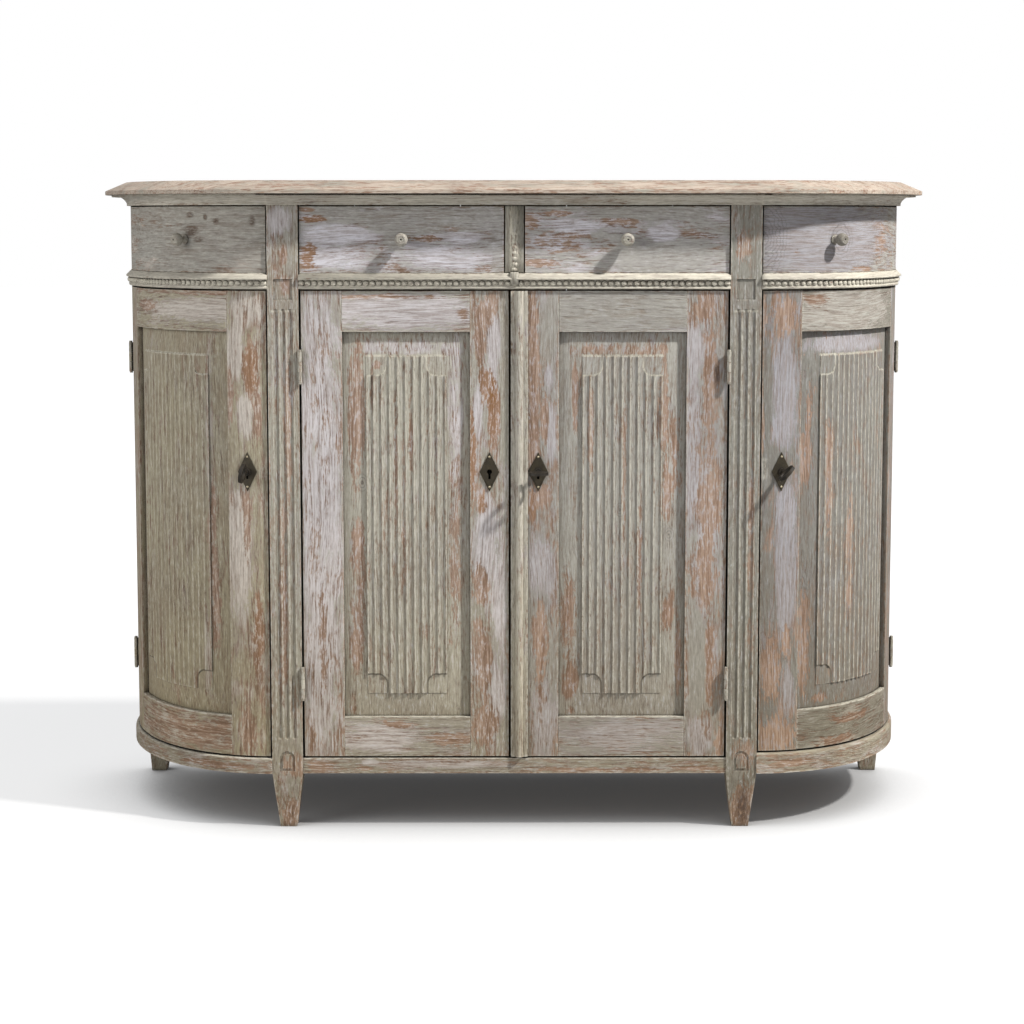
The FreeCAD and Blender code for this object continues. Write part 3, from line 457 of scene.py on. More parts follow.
spot_group, into, out = new_group(
    "scraped_spot",
    {"Place": ("vector", (0, 0, 0)), "Centre": ("vector", (0, 0, 0)), "Reach": ("vector", (1, 1, 1)),
     "Fray": ("value", 0.5)},
    {"Mask": "value"},
)
fray = calc(spot_group, "MULTIPLY", calc(spot_group, "SUBTRACT", into["Fray"], NOISE_MEAN), FRAY_SHARE)
frayed = calc(spot_group, "ADD", oval_distance(spot_group, into), fray)
spot_group.links.new(ramp(spot_group, frayed, *SPOT_RANGE), out["Mask"])

# What a spot does to the sage, the lilac, the bruised and the stained amount
SCRAPED = {
    "wood": (-0.95, -0.85, 0.0, 0.0),
    "amber": (-1.0, -1.0, 0.0, 1.0),
    "lilac": (-0.95, 0.75, 0.0, 0.0),
    "sage": (0.9, 0.0, 0.0, 0.0),
    "pink": (-0.65, -0.42, 0.0, 0.0),
    "pale": (-0.60, 0.32, 0.0, 0.0),
    "dark": (-0.6, -0.6, 1.0, 0.0),
}
print("kinds of spot:", ", ".join(SCRAPED))

# %% [markdown]
# The reeded panels have pale worn lines on their ridges. The field's top edge and the rims of the
# upper sunk squares in its corners get a painted highlight, the rims of the lower squares a painted
# shade, as light from above leaves them. The distance to each line is plain arithmetic on U and Z, so one
# group draws them all. It leaves the backs of the doors alone by looking at the depth in from the face.

# %% Carved line group
FLUTE_PITCH = 0.012
CORNER_SQUARE = 0.030
CORNER_ROUND = 0.015
# Where each line fades out and where it is full, as distances from its middle
INSIDE_RANGE = (-0.0008, 0.0004)
SQUARE_RANGE = (-0.0006, 0.0006)
RIDGE_LINE = (0.0017, 0.0007)
RIM_LINE = (0.0018, 0.0008)
TOP_LINE = (0.0024, 0.0010)
TOP_ENDS = (-0.003, 0.0)
FRONT_ONLY = (END_DEPTH - 0.0095, END_DEPTH - 0.0075)
RIDGE_SHARE = 0.75

carved, into, out = new_group(
    "carved_field",
    {"Place": ("vector", (0, 0, 0)), "Low": ("vector", (0, 0, 0)), "High": ("vector", (1, 1, 1)),
     "Pitch": ("value", FLUTE_PITCH), "Corner": ("value", CORNER_SQUARE), "Round": ("value", CORNER_ROUND)},
    {"Carved": "value", "Sunk": "value", "Inside": "value"},
)
from_low = vector(carved, "SUBTRACT", into["Place"], into["Low"])
to_high = vector(carved, "SUBTRACT", into["High"], into["Place"])
near = vector(carved, "MINIMUM", from_low, to_high)
low_gap, high_gap = (split(carved, v) for v in (from_low, to_high))
gap = split(carved, near)
straight = calc(carved, "SUBTRACT", into["Corner"], into["Round"])
beyond = [calc(carved, "MAXIMUM", calc(carved, "SUBTRACT", gap[axis], straight), 0.0) for axis in (0, 2)]
flat = wire(carved, "CombineXYZ", {0: beyond[0], 2: beyond[1]}).outputs[0]
away = vector(carved, "LENGTH", flat)
away = calc(carved, "SUBTRACT", away, into["Round"])
inside = ramp(carved, calc(carved, "MINIMUM", gap[0], gap[2]), *INSIDE_RANGE)
outside_square = ramp(carved, away, *SQUARE_RANGE)
step = calc(carved, "PINGPONG", calc(carved, "DIVIDE", low_gap[0], into["Pitch"]), 0.5)
ridge = ramp(carved, calc(carved, "MULTIPLY", step, into["Pitch"]), *RIDGE_LINE)
ridge = calc(carved, "MULTIPLY", calc(carved, "MULTIPLY", ridge, inside), outside_square)
rim = ramp(carved, calc(carved, "ABSOLUTE", away), *RIM_LINE)
rim = calc(carved, "MULTIPLY", rim, inside)
# Painted highlight on the upper rims and the top edge, painted shade on the lower rims.
upper = calc(carved, "GREATER_THAN", low_gap[2], high_gap[2])
top_line = calc(carved, "MULTIPLY", ramp(carved, calc(carved, "ABSOLUTE", high_gap[2]), *TOP_LINE),
                ramp(carved, gap[0], *TOP_ENDS))
bright = calc(carved, "MAXIMUM", calc(carved, "MULTIPLY", rim, upper), top_line)
bright = calc(carved, "MAXIMUM", bright, calc(carved, "MULTIPLY", ridge, RIDGE_SHARE))
dark = calc(carved, "MULTIPLY", rim, calc(carved, "SUBTRACT", 1.0, upper))
in_front = ramp(carved, split(carved, into["Place"])[1], *FRONT_ONLY)
carved.links.new(calc(carved, "MULTIPLY", bright, in_front), out["Carved"])
carved.links.new(calc(carved, "MULTIPLY", dark, in_front), out["Sunk"])
carved.links.new(calc(carved, "MULTIPLY", inside, in_front), out["Inside"])
print("carved_field ready")

# %% [markdown]
# Sanded flutes catch less light on their flanks than fresh ones. A small group leans the surface
# normal towards straight out, so the flutes look shallower; a flatter mesh would do the same.

# %% Worn flute group
FLANK_SHARE = 0.6
FACING_RANGE = (0.5, 0.75)
worn_flat, into, out = new_group(
    "worn_flutes",
    {"Outward": ("vector", (0, -1, 0)), "Share": ("value", 0.0)},
    {"Normal": "vector"},
)
own = wire(worn_flat, "TexCoord").outputs["Normal"]
facing = vector(worn_flat, "DOT_PRODUCT", own, into["Outward"])
lean = calc(worn_flat, "MULTIPLY", ramp(worn_flat, facing, *FACING_RANGE, 0.0, FLANK_SHARE), into["Share"])
leaned = wire(worn_flat, "Mix", {0: lean, 4: own, 5: into["Outward"]}, data_type="VECTOR").outputs[1]
leaned = wire(worn_flat, "VectorTransform", {0: leaned}, vector_type="NORMAL", convert_from="OBJECT",
              convert_to="WORLD").outputs[0]
worn_flat.links.new(leaned, out["Normal"])
print("worn_flutes ready")

# %% [markdown]
# A knot is a set of rings round a point, pushed about by noise, with a dark core.

# %% Knot group
WOBBLE_SHARE = 0.5
RING_LINE = (0.30, 0.48)
RING_FADE = (1.05, 0.7)
CORE_RANGE = (0.30, 0.12)

knot, into, out = new_group(
    "knot_rings",
    {"Place": ("vector", (0, 0, 0)), "Centre": ("vector", (0, 0, 0)), "Reach": ("vector", (1, 1, 1)),
     "Rings": ("value", 5.0), "Wobble": ("value", 0.5)},
    {"Lines": "value", "Core": "value"},
)
wobble = calc(knot, "MULTIPLY", calc(knot, "SUBTRACT", into["Wobble"], NOISE_MEAN), WOBBLE_SHARE)
away = calc(knot, "ADD", oval_distance(knot, into), wobble)
wave = calc(knot, "PINGPONG", calc(knot, "MULTIPLY", away, into["Rings"]), 0.5)
lines = calc(knot, "MULTIPLY", ramp(knot, wave, *RING_LINE), ramp(knot, away, *RING_FADE))
knot.links.new(lines, out["Lines"])
knot.links.new(ramp(knot, away, *CORE_RANGE), out["Core"])
print("knot_rings ready")

# %% [markdown]
# All the groups meet in one function, which makes the material of one painted piece. Copying a material
# and changing it by hand would also do, but a function keeps all the painted pieces alike.

# %% Painted finish
LOW_TINT_HEIGHTS = (0.58, 0.05)
LOW_TINT_SHARE = 0.72
PAINT_RELIEF = 0.00075
PAINT_SPECULAR = 0.3
LAYERS = ("Sage Left", "Lilac Left", "Bruised", "Stained")
BRUISED = LAYERS.index("Bruised")
FRAY_PART = 0.5


def painted(name, upright, seed, sage, lilac, spots=(), sage_colour=SAGE, lilac_colour=LILAC,
            wood=WOOD_LIGHT, dark_wood=WOOD_DARK, crest=0.5, hollow=HOLLOW_REACH, field=None, knots=(),
            bent=True):
    """Scraped-paint material for one piece.

    A spot is (kind, U, Z, half width, half height), a knot is (U, Z, half width, half height, rings,
    core) and a field is (low U, low Z, high U, high Z, flute pitch, corner square, its rounding).
    Boards that are not bent take plain object coordinates.
    """
    material, tree, shader = new_material(name)
    bending = use_group(tree, front_space)
    where = bending["Place"] if bent else wire(tree, "TexCoord").outputs["Object"]
    pattern = use_group(tree, grain, {"Place": where, "Upright": upright, "Seed": seed})
    worn = use_group(tree, relief, {"Hollow Reach": hollow})
    amounts = [sage, lilac, 0.0, 0.0]
    fray = calc(tree, "ADD", calc(tree, "MULTIPLY", pattern["Chip"], FRAY_PART),
                calc(tree, "MULTIPLY", pattern["Under"], FRAY_PART))
    for kind, u, z, half_u, half_z in spots:
        mask = use_group(tree, spot_group, {"Place": where, "Centre": (u, 0, z), "Reach": (half_u, 1, half_z),
                                            "Fray": fray})["Mask"]
        for layer, change in enumerate(SCRAPED[kind]):
            if change:
                amounts[layer] = calc(tree, "MULTIPLY_ADD", mask, change, amounts[layer])
    rings = 0.0
    for u, z, half_u, half_z, count, core in knots:
        round_knot = use_group(tree, knot, {"Place": where, "Centre": (u, 0, z), "Reach": (half_u, 1, half_z),
                                            "Rings": count, "Wobble": pattern["Patch"]})
        rings = calc(tree, "MAXIMUM", round_knot["Lines"], rings)
        amounts[BRUISED] = calc(tree, "MULTIPLY_ADD", round_knot["Core"], core, amounts[BRUISED])
    sockets = {label: pattern[label] for label in PATTERNS}
    sockets["Rings"] = rings
    # Darker and yellower towards the bottom of each piece.
    height = split(tree, where)[2]
    sockets["Age"] = ramp(tree, height, *LOW_TINT_HEIGHTS, 0.0, LOW_TINT_SHARE)
    if field:
        low_u, low_z, high_u, high_z, pitch, corner, rounding = field
        lines = use_group(tree, carved, {"Place": where, "Low": (low_u, 0, low_z),
                                         "High": (high_u, 0, high_z), "Pitch": pitch, "Corner": corner,
                                         "Round": rounding})
        sockets.update({"Carved": lines["Carved"], "Sunk": lines["Sunk"]})
        leaned = use_group(tree, worn_flat, {"Outward": bending["Outward"], "Share": lines["Inside"]})
    sockets.update({"Edge": worn["Edge"], "Hollow": worn["Hollow"], "Crest": crest, "Sage": sage_colour,
                    "Lilac": lilac_colour, "Wood": wood, "Dark Wood": dark_wood})
    sockets.update(zip(LAYERS, amounts))
    finish = use_group(tree, coat, sockets)
    bump = wire(tree, "Bump", {"Height": finish["Height"], "Distance": PAINT_RELIEF, "Strength": 1.0})
    if field:
        tree.links.new(leaned["Normal"], bump.inputs["Normal"])
    feed(tree, shader, finish["Colour"], finish["Roughness"], bump)
    shader.inputs["Specular IOR Level"].default_value = PAINT_SPECULAR
    return material


print("painted finish ready")

# %% [markdown]
# This table lists worn places noted while looking at a picture of the buffet. A row says what shows
# there, then how far across and down its middle lies, and half its width and height, in pixels of a
# picture 1024 wide and high. Knots also have their number of rings and how dark the core is.

# %% Where the paint was scraped
PICTURE_SIDE = 1024
SCRAPED_PLACES = {
    "front_post_left": [
        ("lilac", 279, 220, 10, 13), ("wood", 284, 254, 4, 9), ("wood", 286, 286, 4, 9),
        ("pink", 288, 420, 3, 70), ("pink", 284, 600, 4, 90), ("wood", 294, 818, 12, 18),
        ("pink", 292, 765, 10, 12),
    ],
    "front_post_right": [
        ("pink", 744, 245, 7, 16), ("pink", 751, 560, 3, 120), ("pink", 744, 752, 10, 16),
        ("wood", 743, 812, 14, 26), ("dark", 743, 808, 6.5, 22),
    ],
    "base_rails": [
        ("wood", 320, 766, 12, 5), ("lilac", 370, 762, 7, 3), ("wood", 365, 768, 7, 2),
        ("wood", 700, 768, 18, 2), ("pink", 600, 769, 60, 2), ("wood", 790, 762, 12, 3),
        ("pale", 440, 764, 60, 4), ("pink", 215, 763, 30, 3),
    ],
    "centre_left_door_stiles": [
        ("pale", 320, 520, 24, 250), ("wood", 487, 312, 9, 14), ("lilac", 495, 340, 8, 24),
        ("wood", 481, 335, 5, 28), ("amber", 487, 385, 8, 20), ("lilac", 492, 380, 4, 22),
        ("amber", 494, 415, 6, 28), ("amber", 472, 455, 4, 38), ("lilac", 478, 410, 4, 25),
        ("sage", 505, 380, 5, 80), ("amber", 482, 503, 4, 12), ("lilac", 486, 542, 11, 34),
        ("wood", 480, 584, 7, 24), ("sage", 478, 612, 7, 9), ("wood", 478, 623, 4, 7),
        ("lilac", 500, 602, 6, 56), ("wood", 483, 665, 8, 30), ("lilac", 498, 690, 6, 26),
        ("wood", 486, 727, 12, 16), ("pink", 323, 640, 4, 40),
    ],
    "centre_left_door_rails": [
        ("lilac", 403, 312, 64, 16), ("wood", 380, 297, 50, 2.5), ("wood", 462, 315, 6, 6),
        ("wood", 400, 725, 14, 3), ("wood", 448, 740, 22, 6), ("pale", 385, 738, 38, 14),
        ("sage", 455, 722, 20, 5),
    ],
    "centre_left_door_panel": [
        ("wood", 356, 410, 8, 60), ("wood", 358, 545, 6, 22), ("pink", 357, 600, 8, 60),
        ("wood", 356, 655, 5, 20), ("wood", 353, 705, 4, 8), ("pale", 455, 420, 8, 80),
        ("sage", 405, 704, 60, 7), ("pink", 455, 560, 6, 60), ("sage", 343, 520, 4, 190),
        ("pale", 405, 348, 56, 7), ("pink", 396, 470, 2, 60), ("pink", 404, 500, 2, 60),
        ("pink", 411, 430, 2, 50), ("dark", 372, 385, 1.5, 25), ("wood", 377, 365, 5, 4),
    ],
    "centre_right_door_stiles": [
        ("wood", 531, 320, 7, 24), ("wood", 532, 380, 7, 50), ("sage", 548, 330, 6, 25),
        ("lilac", 549, 379, 4, 12), ("lilac", 551, 435, 4, 25), ("wood", 545, 420, 4, 22),
        ("wood", 532, 445, 6, 25), ("wood", 540, 495, 9, 11), ("amber", 531, 505, 4, 14),
        ("lilac", 540, 568, 13, 26), ("pink", 543, 558, 5, 13), ("wood", 541, 640, 7, 36),
        ("pale", 545, 722, 12, 38), ("sage", 524, 620, 4, 120), ("lilac", 694, 352, 9, 22),
        ("pale", 693, 440, 8, 75), ("wood", 706, 305, 7, 16), ("pink", 711, 390, 8, 52),
        ("pink", 709, 505, 10, 60), ("pink", 705, 575, 14, 36), ("sage", 697, 660, 7, 48),
        ("pink", 709, 660, 6, 38), ("pale", 700, 735, 13, 18), ("wood", 720, 742, 5, 12),
        ("dark", 717, 372, 3.5, 16),
    ],
    "centre_right_door_rails": [
        ("sage", 620, 310, 64, 18), ("pink", 632, 314, 18, 3.5), ("pale", 622, 735, 60, 15),
    ],
    "centre_right_door_panel": [
        ("sage", 566, 420, 5, 80), ("wood", 575, 400, 3, 30), ("wood", 568, 610, 7, 42),
        ("wood", 570, 685, 7, 24), ("wood", 664, 400, 4, 56), ("pink", 672, 460, 7, 50),
        ("wood", 666, 500, 5, 24), ("wood", 668, 615, 7, 18), ("sage", 664, 655, 4, 20),
        ("wood", 678, 660, 3, 40), ("sage", 620, 703, 56, 7), ("wood", 591, 430, 2.5, 52),
        ("pink", 615, 350, 50, 6), ("dark", 658, 420, 1.2, 24), ("pink", 624, 470, 2, 50),
        ("pink", 640, 560, 2, 60),
    ],
    "left_end_door_stiles": [
        ("pale", 245, 308, 15, 18), ("lilac", 234, 350, 9, 24), ("amber", 250, 369, 7, 24),
        ("wood", 228, 398, 4, 32), ("wood", 258, 405, 4, 22), ("lilac", 244, 417, 7, 20),
        ("sage", 232, 450, 8, 20), ("lilac", 240, 552, 11, 60), ("wood", 247, 530, 4, 28),
        ("pink", 243, 500, 8, 13), ("amber", 259, 632, 5, 34), ("wood", 247, 730, 8, 18),
    ],
    "left_end_door_rails": [
        ("lilac", 195, 310, 45, 11), ("wood", 148, 305, 8, 5), ("pink", 180, 292, 45, 2.5),
        ("pink", 180, 728, 45, 16),
    ],
    "left_end_door_panel": [
        ("pale", 208, 440, 4, 70), ("wood", 211, 520, 4, 30), ("wood", 214, 600, 5, 44),
        ("pale", 207, 650, 4, 40),
    ],
    "right_end_door_stiles": [
        ("wood", 762, 320, 4, 36), ("wood", 785, 315, 10, 17), ("lilac", 784, 395, 11, 50),
        ("wood", 762, 425, 3, 24), ("sage", 768, 400, 4, 45), ("sage", 772, 468, 12, 18),
        ("lilac", 786, 512, 9, 26), ("lilac", 786, 570, 9, 62), ("sage", 766, 570, 5, 50),
        ("wood", 768, 542, 4, 14), ("wood", 770, 672, 8, 24), ("wood", 785, 640, 3, 14),
        ("pale", 788, 692, 7, 22), ("wood", 776, 736, 16, 16),
    ],
    "right_end_door_rails": [
        ("lilac", 850, 312, 40, 18), ("wood", 816, 301, 11, 8), ("wood", 852, 716, 16, 4),
        ("pink", 836, 740, 20, 5),
    ],
    "right_end_door_panel": [
        ("lilac", 850, 343, 36, 9), ("wood", 803, 465, 4, 24), ("wood", 810, 430, 3, 48),
        ("wood", 805, 640, 6, 48), ("wood", 822, 698, 7, 4), ("pink", 830, 470, 4, 60),
        ("pink", 850, 560, 4, 60),
    ],
    "left_end_drawer_front": [
        ("sage", 190, 225, 64, 22), ("sage", 200, 250, 60, 16), ("pale", 235, 262, 24, 7),
        ("dark", 190, 215, 3.5, 3), ("dark", 205, 217, 2.5, 3), ("dark", 216, 221, 3, 3),
        ("dark", 191, 231, 7, 6), ("dark", 252, 221, 3, 5), ("dark", 198, 240, 5, 3),
        ("pink", 150, 222, 22, 8),
    ],
    "centre_left_drawer_front": [
        ("wood", 306, 210, 8, 2.5), ("amber", 312, 219, 14, 3.5), ("amber", 308, 256, 8, 11),
        ("wood", 308, 244, 6, 2.5), ("lilac", 335, 235, 36, 9), ("pale", 332, 258, 34, 10),
        ("pink", 358, 226, 14, 3), ("sage", 410, 219, 90, 11), ("pink", 448, 227, 14, 3.5),
        ("wood", 428, 239, 12, 3), ("lilac", 462, 238, 18, 5), ("pale", 447, 257, 42, 11),
        ("sage", 497, 240, 5, 34), ("sage", 394, 240, 9, 9),
    ],
    "centre_right_drawer_front": [
        ("lilac", 663, 233, 13, 8), ("pink", 620, 222, 20, 4), ("sage", 655, 213, 60, 6),
        ("sage", 655, 260, 44, 11), ("wood", 530, 222, 9, 6), ("pink", 556, 241, 24, 9),
        ("wood", 541, 263, 15, 4), ("pale", 577, 226, 24, 7), ("wood", 560, 214, 14, 2.5),
    ],
    "right_end_drawer_front": [
        ("lilac", 820, 238, 62, 34), ("wood", 797, 251, 4, 4), ("wood", 862, 269, 9, 3),
        ("pink", 880, 238, 7, 18),
    ],
}
KNOT_PLACES = {
    "centre_left_door_panel": [(362, 483, 6.5, 10.5, 3, 0.7)],
    "centre_right_door_panel": [(669, 535, 6, 8.5, 3, 0.7), (620, 510, 5, 8, 3, 0.5)],
    "right_end_drawer_front": [(762, 238, 30, 49, 9, 0.0), (841, 239, 13, 22, 5, 0.4)],
}
print("boards with noted places:", len(SCRAPED_PLACES))

# %% [markdown]
# The camera of this scene sees the buffet as the picture does, so it can carry the notes over: a line
# from the camera through a place in the picture meets the front, flat in the middle and round at the
# ends. UV-projecting a picture would also place wear, but then the paint would hang on an image file.

# %% From the picture to the front
FOCAL_PX = LENS_MM / SENSOR_MM * PICTURE_SIDE
CAMERA_TURN = camera.rotation_euler.to_matrix()
SIGHT_STEPS = 600
LEAST_HALF = 0.002


def on_front(across, down):
    """U and Z of the place on the front that the camera sees at a place in the picture."""
    middle = PICTURE_SIDE / 2
    ray = CAMERA_TURN @ Vector(((across - middle) / FOCAL_PX, (middle - down) / FOCAL_PX, -1.0))

    def seen(y):
        """X and Z of the line of sight at a depth."""
        ahead = (y - CAMERA_PLACE.y) / ray.y
        return CAMERA_PLACE.x + ray.x * ahead, CAMERA_PLACE.z + ray.z * ahead

    def miss(t):
        """How far the line of sight passes from the end curve at an angle."""
        point, _ = end_station(t)
        return abs(abs(seen(point.y)[0]) - point.x)

    x, z = seen(FACE_Y)
    if abs(x) <= POST_X:
        return x, z
    t = min((QUARTER * i / SIGHT_STEPS for i in range(SIGHT_STEPS + 1)), key=miss)
    return math.copysign(POST_X + round_end(t), x), seen(end_station(t)[0].y)[1]


def carried_over(across, down, half_across, half_down):
    """U, Z, half width and half height on the front of an oval noted in the picture."""
    u, z = on_front(across, down)
    half_u = (on_front(across + half_across, down)[0] - on_front(across - half_across, down)[0]) / 2
    half_z = (on_front(across, down - half_down)[1] - on_front(across, down + half_down)[1]) / 2
    return u, z, max(half_u, LEAST_HALF), max(half_z, LEAST_HALF)


SPOTS = {node: [(kind, *carried_over(*oval)) for kind, *oval in rows]
         for node, rows in SCRAPED_PLACES.items()}
KNOTS = {node: [(*carried_over(*row[:4]), *row[4:]) for row in rows]
         for node, rows in KNOT_PLACES.items()}
print("scraped spots:", sum(map(len, SPOTS.values())), "knots:", sum(map(len, KNOTS.values())))

# %% [markdown]
# Now each painted piece gets its own finish: the way its grain runs, a seed so that no two boards are
# alike, how much of each coat is left, and the places where it was scraped.

# %% Painted pieces
OLIVE = tint(160, 152, 130)
DIM_SAGE = tint(127, 125, 118)
DIM_LILAC = tint(152, 151, 155)
COOL_SAGE = tint(154, 151, 143)
COOL_LILAC = tint(173, 170, 172)
WARM_LILAC = tint(190, 183, 174)
POST_SAGE = tint(138, 136, 127)
DARK_KNOB = tint(118, 114, 102)
MOULDING_SAGE = tint(180, 175, 161)
GREY_SAGE = tint(156, 153, 145)
# The middle drawers' tones are lighter, painted light that offsets part of the top's shadow on them.
DRAWER_TONES = (tint(166, 163, 157), tint(202, 200, 206))
# The cornice is painted lighter, offsetting part of the shade under the top's overhang.
CORNICE_SAGE = tint(184, 179, 166)
# The right end's rails get darker tones, a painted shade against the lamp's strong light on its lower rail.
DIMMED_RAIL_TONES = {"right_end": {"sage_colour": tint(122, 118, 107), "lilac_colour": tint(158, 155, 147),
                             "wood": tint(140, 114, 96), "dark_wood": tint(108, 84, 68)}}
TOP_SAGE = tint(158, 154, 142)
BARE_CREAM = tint(180, 167, 153)
PANEL_SAGES = {"centre_left": tint(169, 165, 152), "centre_right": tint(161, 158, 149)}
TOP_WOOD = tint(172, 142, 122)
TOP_DARK_WOOD = tint(138, 106, 86)
# Sage and lilac of each door and drawer, as the light and the wear leave them
TONES = {"centre_left": (SAGE, LILAC), "centre_right": (COOL_SAGE, COOL_LILAC),
         "left_end": (OLIVE, WARM_LILAC), "right_end": (DIM_SAGE, DIM_LILAC)}
SIDES = tuple(TONES)
coats = {}


def front_place(x, y):
    """U of a point, and how far it lies out from the face."""
    reach = abs(x)
    if reach <= POST_X:
        return x, FACE_Y - y
    over, ahead = (reach - POST_X) / END_REACH, (CURVE_Y - y) / END_DEPTH
    t = math.atan2(over, ahead)
    out = (math.hypot(over, ahead) - 1) / (math.sin(t) ** 2 / END_REACH + math.cos(t) ** 2 / END_DEPTH)
    return math.copysign(POST_X + round_end(t), x), out


FIELD_LEVEL = -0.0035
FAR_OFF = 9.0
BELOW_FLOOR = -1.0
NO_FLUTES = 20.0


def field_of(node):
    """Edges of a panel's raised field, read from its mesh, with flute pitch and corner square."""
    places = []
    for vertex in nodes[node].data.vertices:
        u, out = front_place(vertex.co.x, vertex.co.y)
        if out > FIELD_LEVEL:
            places.append((u, vertex.co.z))
    us, zs = [p[0] for p in places], [p[1] for p in places]
    low, high = min(us), max(us)
    pitch = (high - low) / round((high - low) / FLUTE_PITCH)
    return low, min(zs), high, max(zs), pitch, CORNER_SQUARE, CORNER_ROUND


def edge_line(top, high_u=FAR_OFF):
    """Field that holds only a painted highlight along an upper edge."""
    return -FAR_OFF, BELOW_FLOOR, high_u, top, NO_FLUTES, 0.0, 0.0


def finish(node, upright, seed, sage, lilac, **more):
    """Paint a piece: grain upright or level, seed, how much sage and lilac is left, and what differs."""
    coats[node] = painted(node, upright, seed, sage, lilac, spots=SPOTS.get(node, ()),
                          knots=KNOTS.get(node, ()), **more)
    dress(nodes[node], coats[node])


POST_FLUTES = {"left": -0.3495, "right": 0.3495}
POST_FLUTE_HALF = 0.0165
POST_FLUTE_ENDS = (0.143, 0.797)
POST_FLUTE_PITCH = 0.011
BASE_TOP = 0.110
DOOR_MIDDLE = 0.4
PEARL_HOLLOW = 0.0035
STRIP_HOLLOW = 0.003
PANEL_HOLLOW = 0.005
for number, (side, middle) in enumerate(POST_FLUTES.items()):
    low_z, high_z = POST_FLUTE_ENDS
    flutes = (middle - POST_FLUTE_HALF, low_z, middle + POST_FLUTE_HALF, high_z, POST_FLUTE_PITCH, 0.0, 0.0)
    finish("front_post_" + side, 1, 1 + number, (0.25, 0.45)[number], 0.0,
           sage_colour=(SAGE, POST_SAGE)[number], field=flutes)
finish("rear_posts", 1, 3, 0.2, 0.0)
finish("side_stiles", 1, 4, 0.2, -0.1, sage_colour=OLIVE)
finish("base_rails", 0, 5, 0.1, 0.0, field=edge_line(BASE_TOP, POST_X))
finish("bead_rails", 0, 6, 0.6, 0.2)
finish("bead_mouldings", 0, 7, 0.6, 0.6, crest=0.8, hollow=PEARL_HOLLOW,
       sage_colour=MOULDING_SAGE, lilac_colour=WARM_LILAC)
finish("cornice", 0, 8, 0.5, 0.0, sage_colour=CORNICE_SAGE)
finish("top_board", 0, 9, -0.25, 0.35, bent=False, sage_colour=TOP_SAGE, lilac_colour=BARE_CREAM,
       wood=TOP_WOOD, dark_wood=TOP_DARK_WOOD)
finish("drawer_muntin", 1, 10, 0.5, 0.3, crest=0.9, hollow=STRIP_HOLLOW)
finish("centre_right_door_astragal", 1, 11, 0.4, 0.2, crest=0.9, sage_colour=MOULDING_SAGE)
for number, side in enumerate(SIDES):
    tone, pale = TONES[side]
    both = {"sage_colour": tone, "lilac_colour": pale}
    finish(side + "_door_stiles", 1, 20 + number, 0.10, 0.0, **both)
    rails = nodes[side + "_door_rails"]
    low_rail = max(v.co.z for v in rails.data.vertices if v.co.z < DOOR_MIDDLE)
    finish(side + "_door_rails", 0, 30 + number, 0.2, 0.2, field=edge_line(low_rail),
           **DIMMED_RAIL_TONES.get(side, both))
    panel = side + "_door_panel"
    finish(panel, 1, 40 + number, 0.40, 0.0, sage_colour=PANEL_SAGES.get(side, tone), lilac_colour=pale,
           hollow=PANEL_HOLLOW, field=field_of(panel))
    drawer_sage, drawer_lilac = DRAWER_TONES if side.startswith("centre") else (GREY_SAGE, pale)
    finish(side + "_drawer_front", 0, 50 + number, 0.1, 0.2, sage_colour=drawer_sage,
           lilac_colour=drawer_lilac)
    knob_sage, knob_left = (DARK_KNOB, 1.4) if side == "right_end" else (SAGE, 0.5)
    finish(side + "_drawer_knob", 0, 60 + number, knob_left, 0.6, sage_colour=knob_sage, lilac_colour=pale)
    finish(side + "_door_hinge_leaves", 1, 70 + number, 0.5, 0.2, **both)
finish("hinge_leaves_fixed", 1, 80, 0.5, 0.2, sage_colour=POST_SAGE, lilac_colour=COOL_LILAC)
print("painted pieces:", len(coats))

# %% [markdown]
# Inside, the boards were never painted. The same grain group gives raw timber: light and dark growth
# bands, darker in corners and along joins.


# %% Raw timber inside
ROOM_HOLLOW = 0.06
TIMBER_BANDS = (0.34, 0.64)
TIMBER_CLOUDS = (0.35, 0.75, 0.0, 0.35)
BOARD_TONES = (0.0, 1.0, 0.0, 0.4)
TIMBER_MATT = (0.3, 0.7, 0.66, 0.86)
TIMBER_RELIEF = 0.0004
TIMBER_SPECULAR = 0.25
CORNER_DARK_SHARE = 0.55
BAND_PART, FIBRE_PART = 0.6, 0.4


def raw_timber(node, upright, inward, seed, light, dark, board_w=10.0):
    """Bare wood; board_w is the width of the boards that a piece is made of."""
    material, tree, shader = new_material(node)
    where = wire(tree, "TexCoord").outputs["Object"]
    pattern = use_group(tree, grain, {"Place": where, "Upright": upright, "Inward": inward, "Seed": seed})
    worn = use_group(tree, relief, {"Hollow Reach": ROOM_HOLLOW})
    bands = calc(tree, "ADD", calc(tree, "MULTIPLY", pattern["Band"], BAND_PART),
                 calc(tree, "MULTIPLY", pattern["Fibre"], FIBRE_PART))
    colour = blend(tree, ramp(tree, bands, *TIMBER_BANDS), dark, light)
    colour = blend(tree, ramp(tree, pattern["Cloud"], *TIMBER_CLOUDS), colour, dark)
    board = calc(tree, "FLOOR", calc(tree, "DIVIDE", split(tree, where)[0], board_w))
    tone = wire(tree, "TexWhiteNoise", {"W": calc(tree, "ADD", board, seed)}, noise_dimensions="1D")
    colour = blend(tree, ramp(tree, tone.outputs["Value"], *BOARD_TONES), colour, dark)
    # Darker in corners and along joins, where the AO node finds them.
    colour = blend(tree, calc(tree, "MULTIPLY", worn["Hollow"], CORNER_DARK_SHARE), colour, DIRT_AND_SHADE)
    bump = wire(tree, "Bump", {"Height": bands, "Distance": TIMBER_RELIEF})
    feed(tree, shader, colour, ramp(tree, pattern["Fibre"], *TIMBER_MATT), bump)
    shader.inputs["Specular IOR Level"].default_value = TIMBER_SPECULAR
    dress(nodes[node], material)


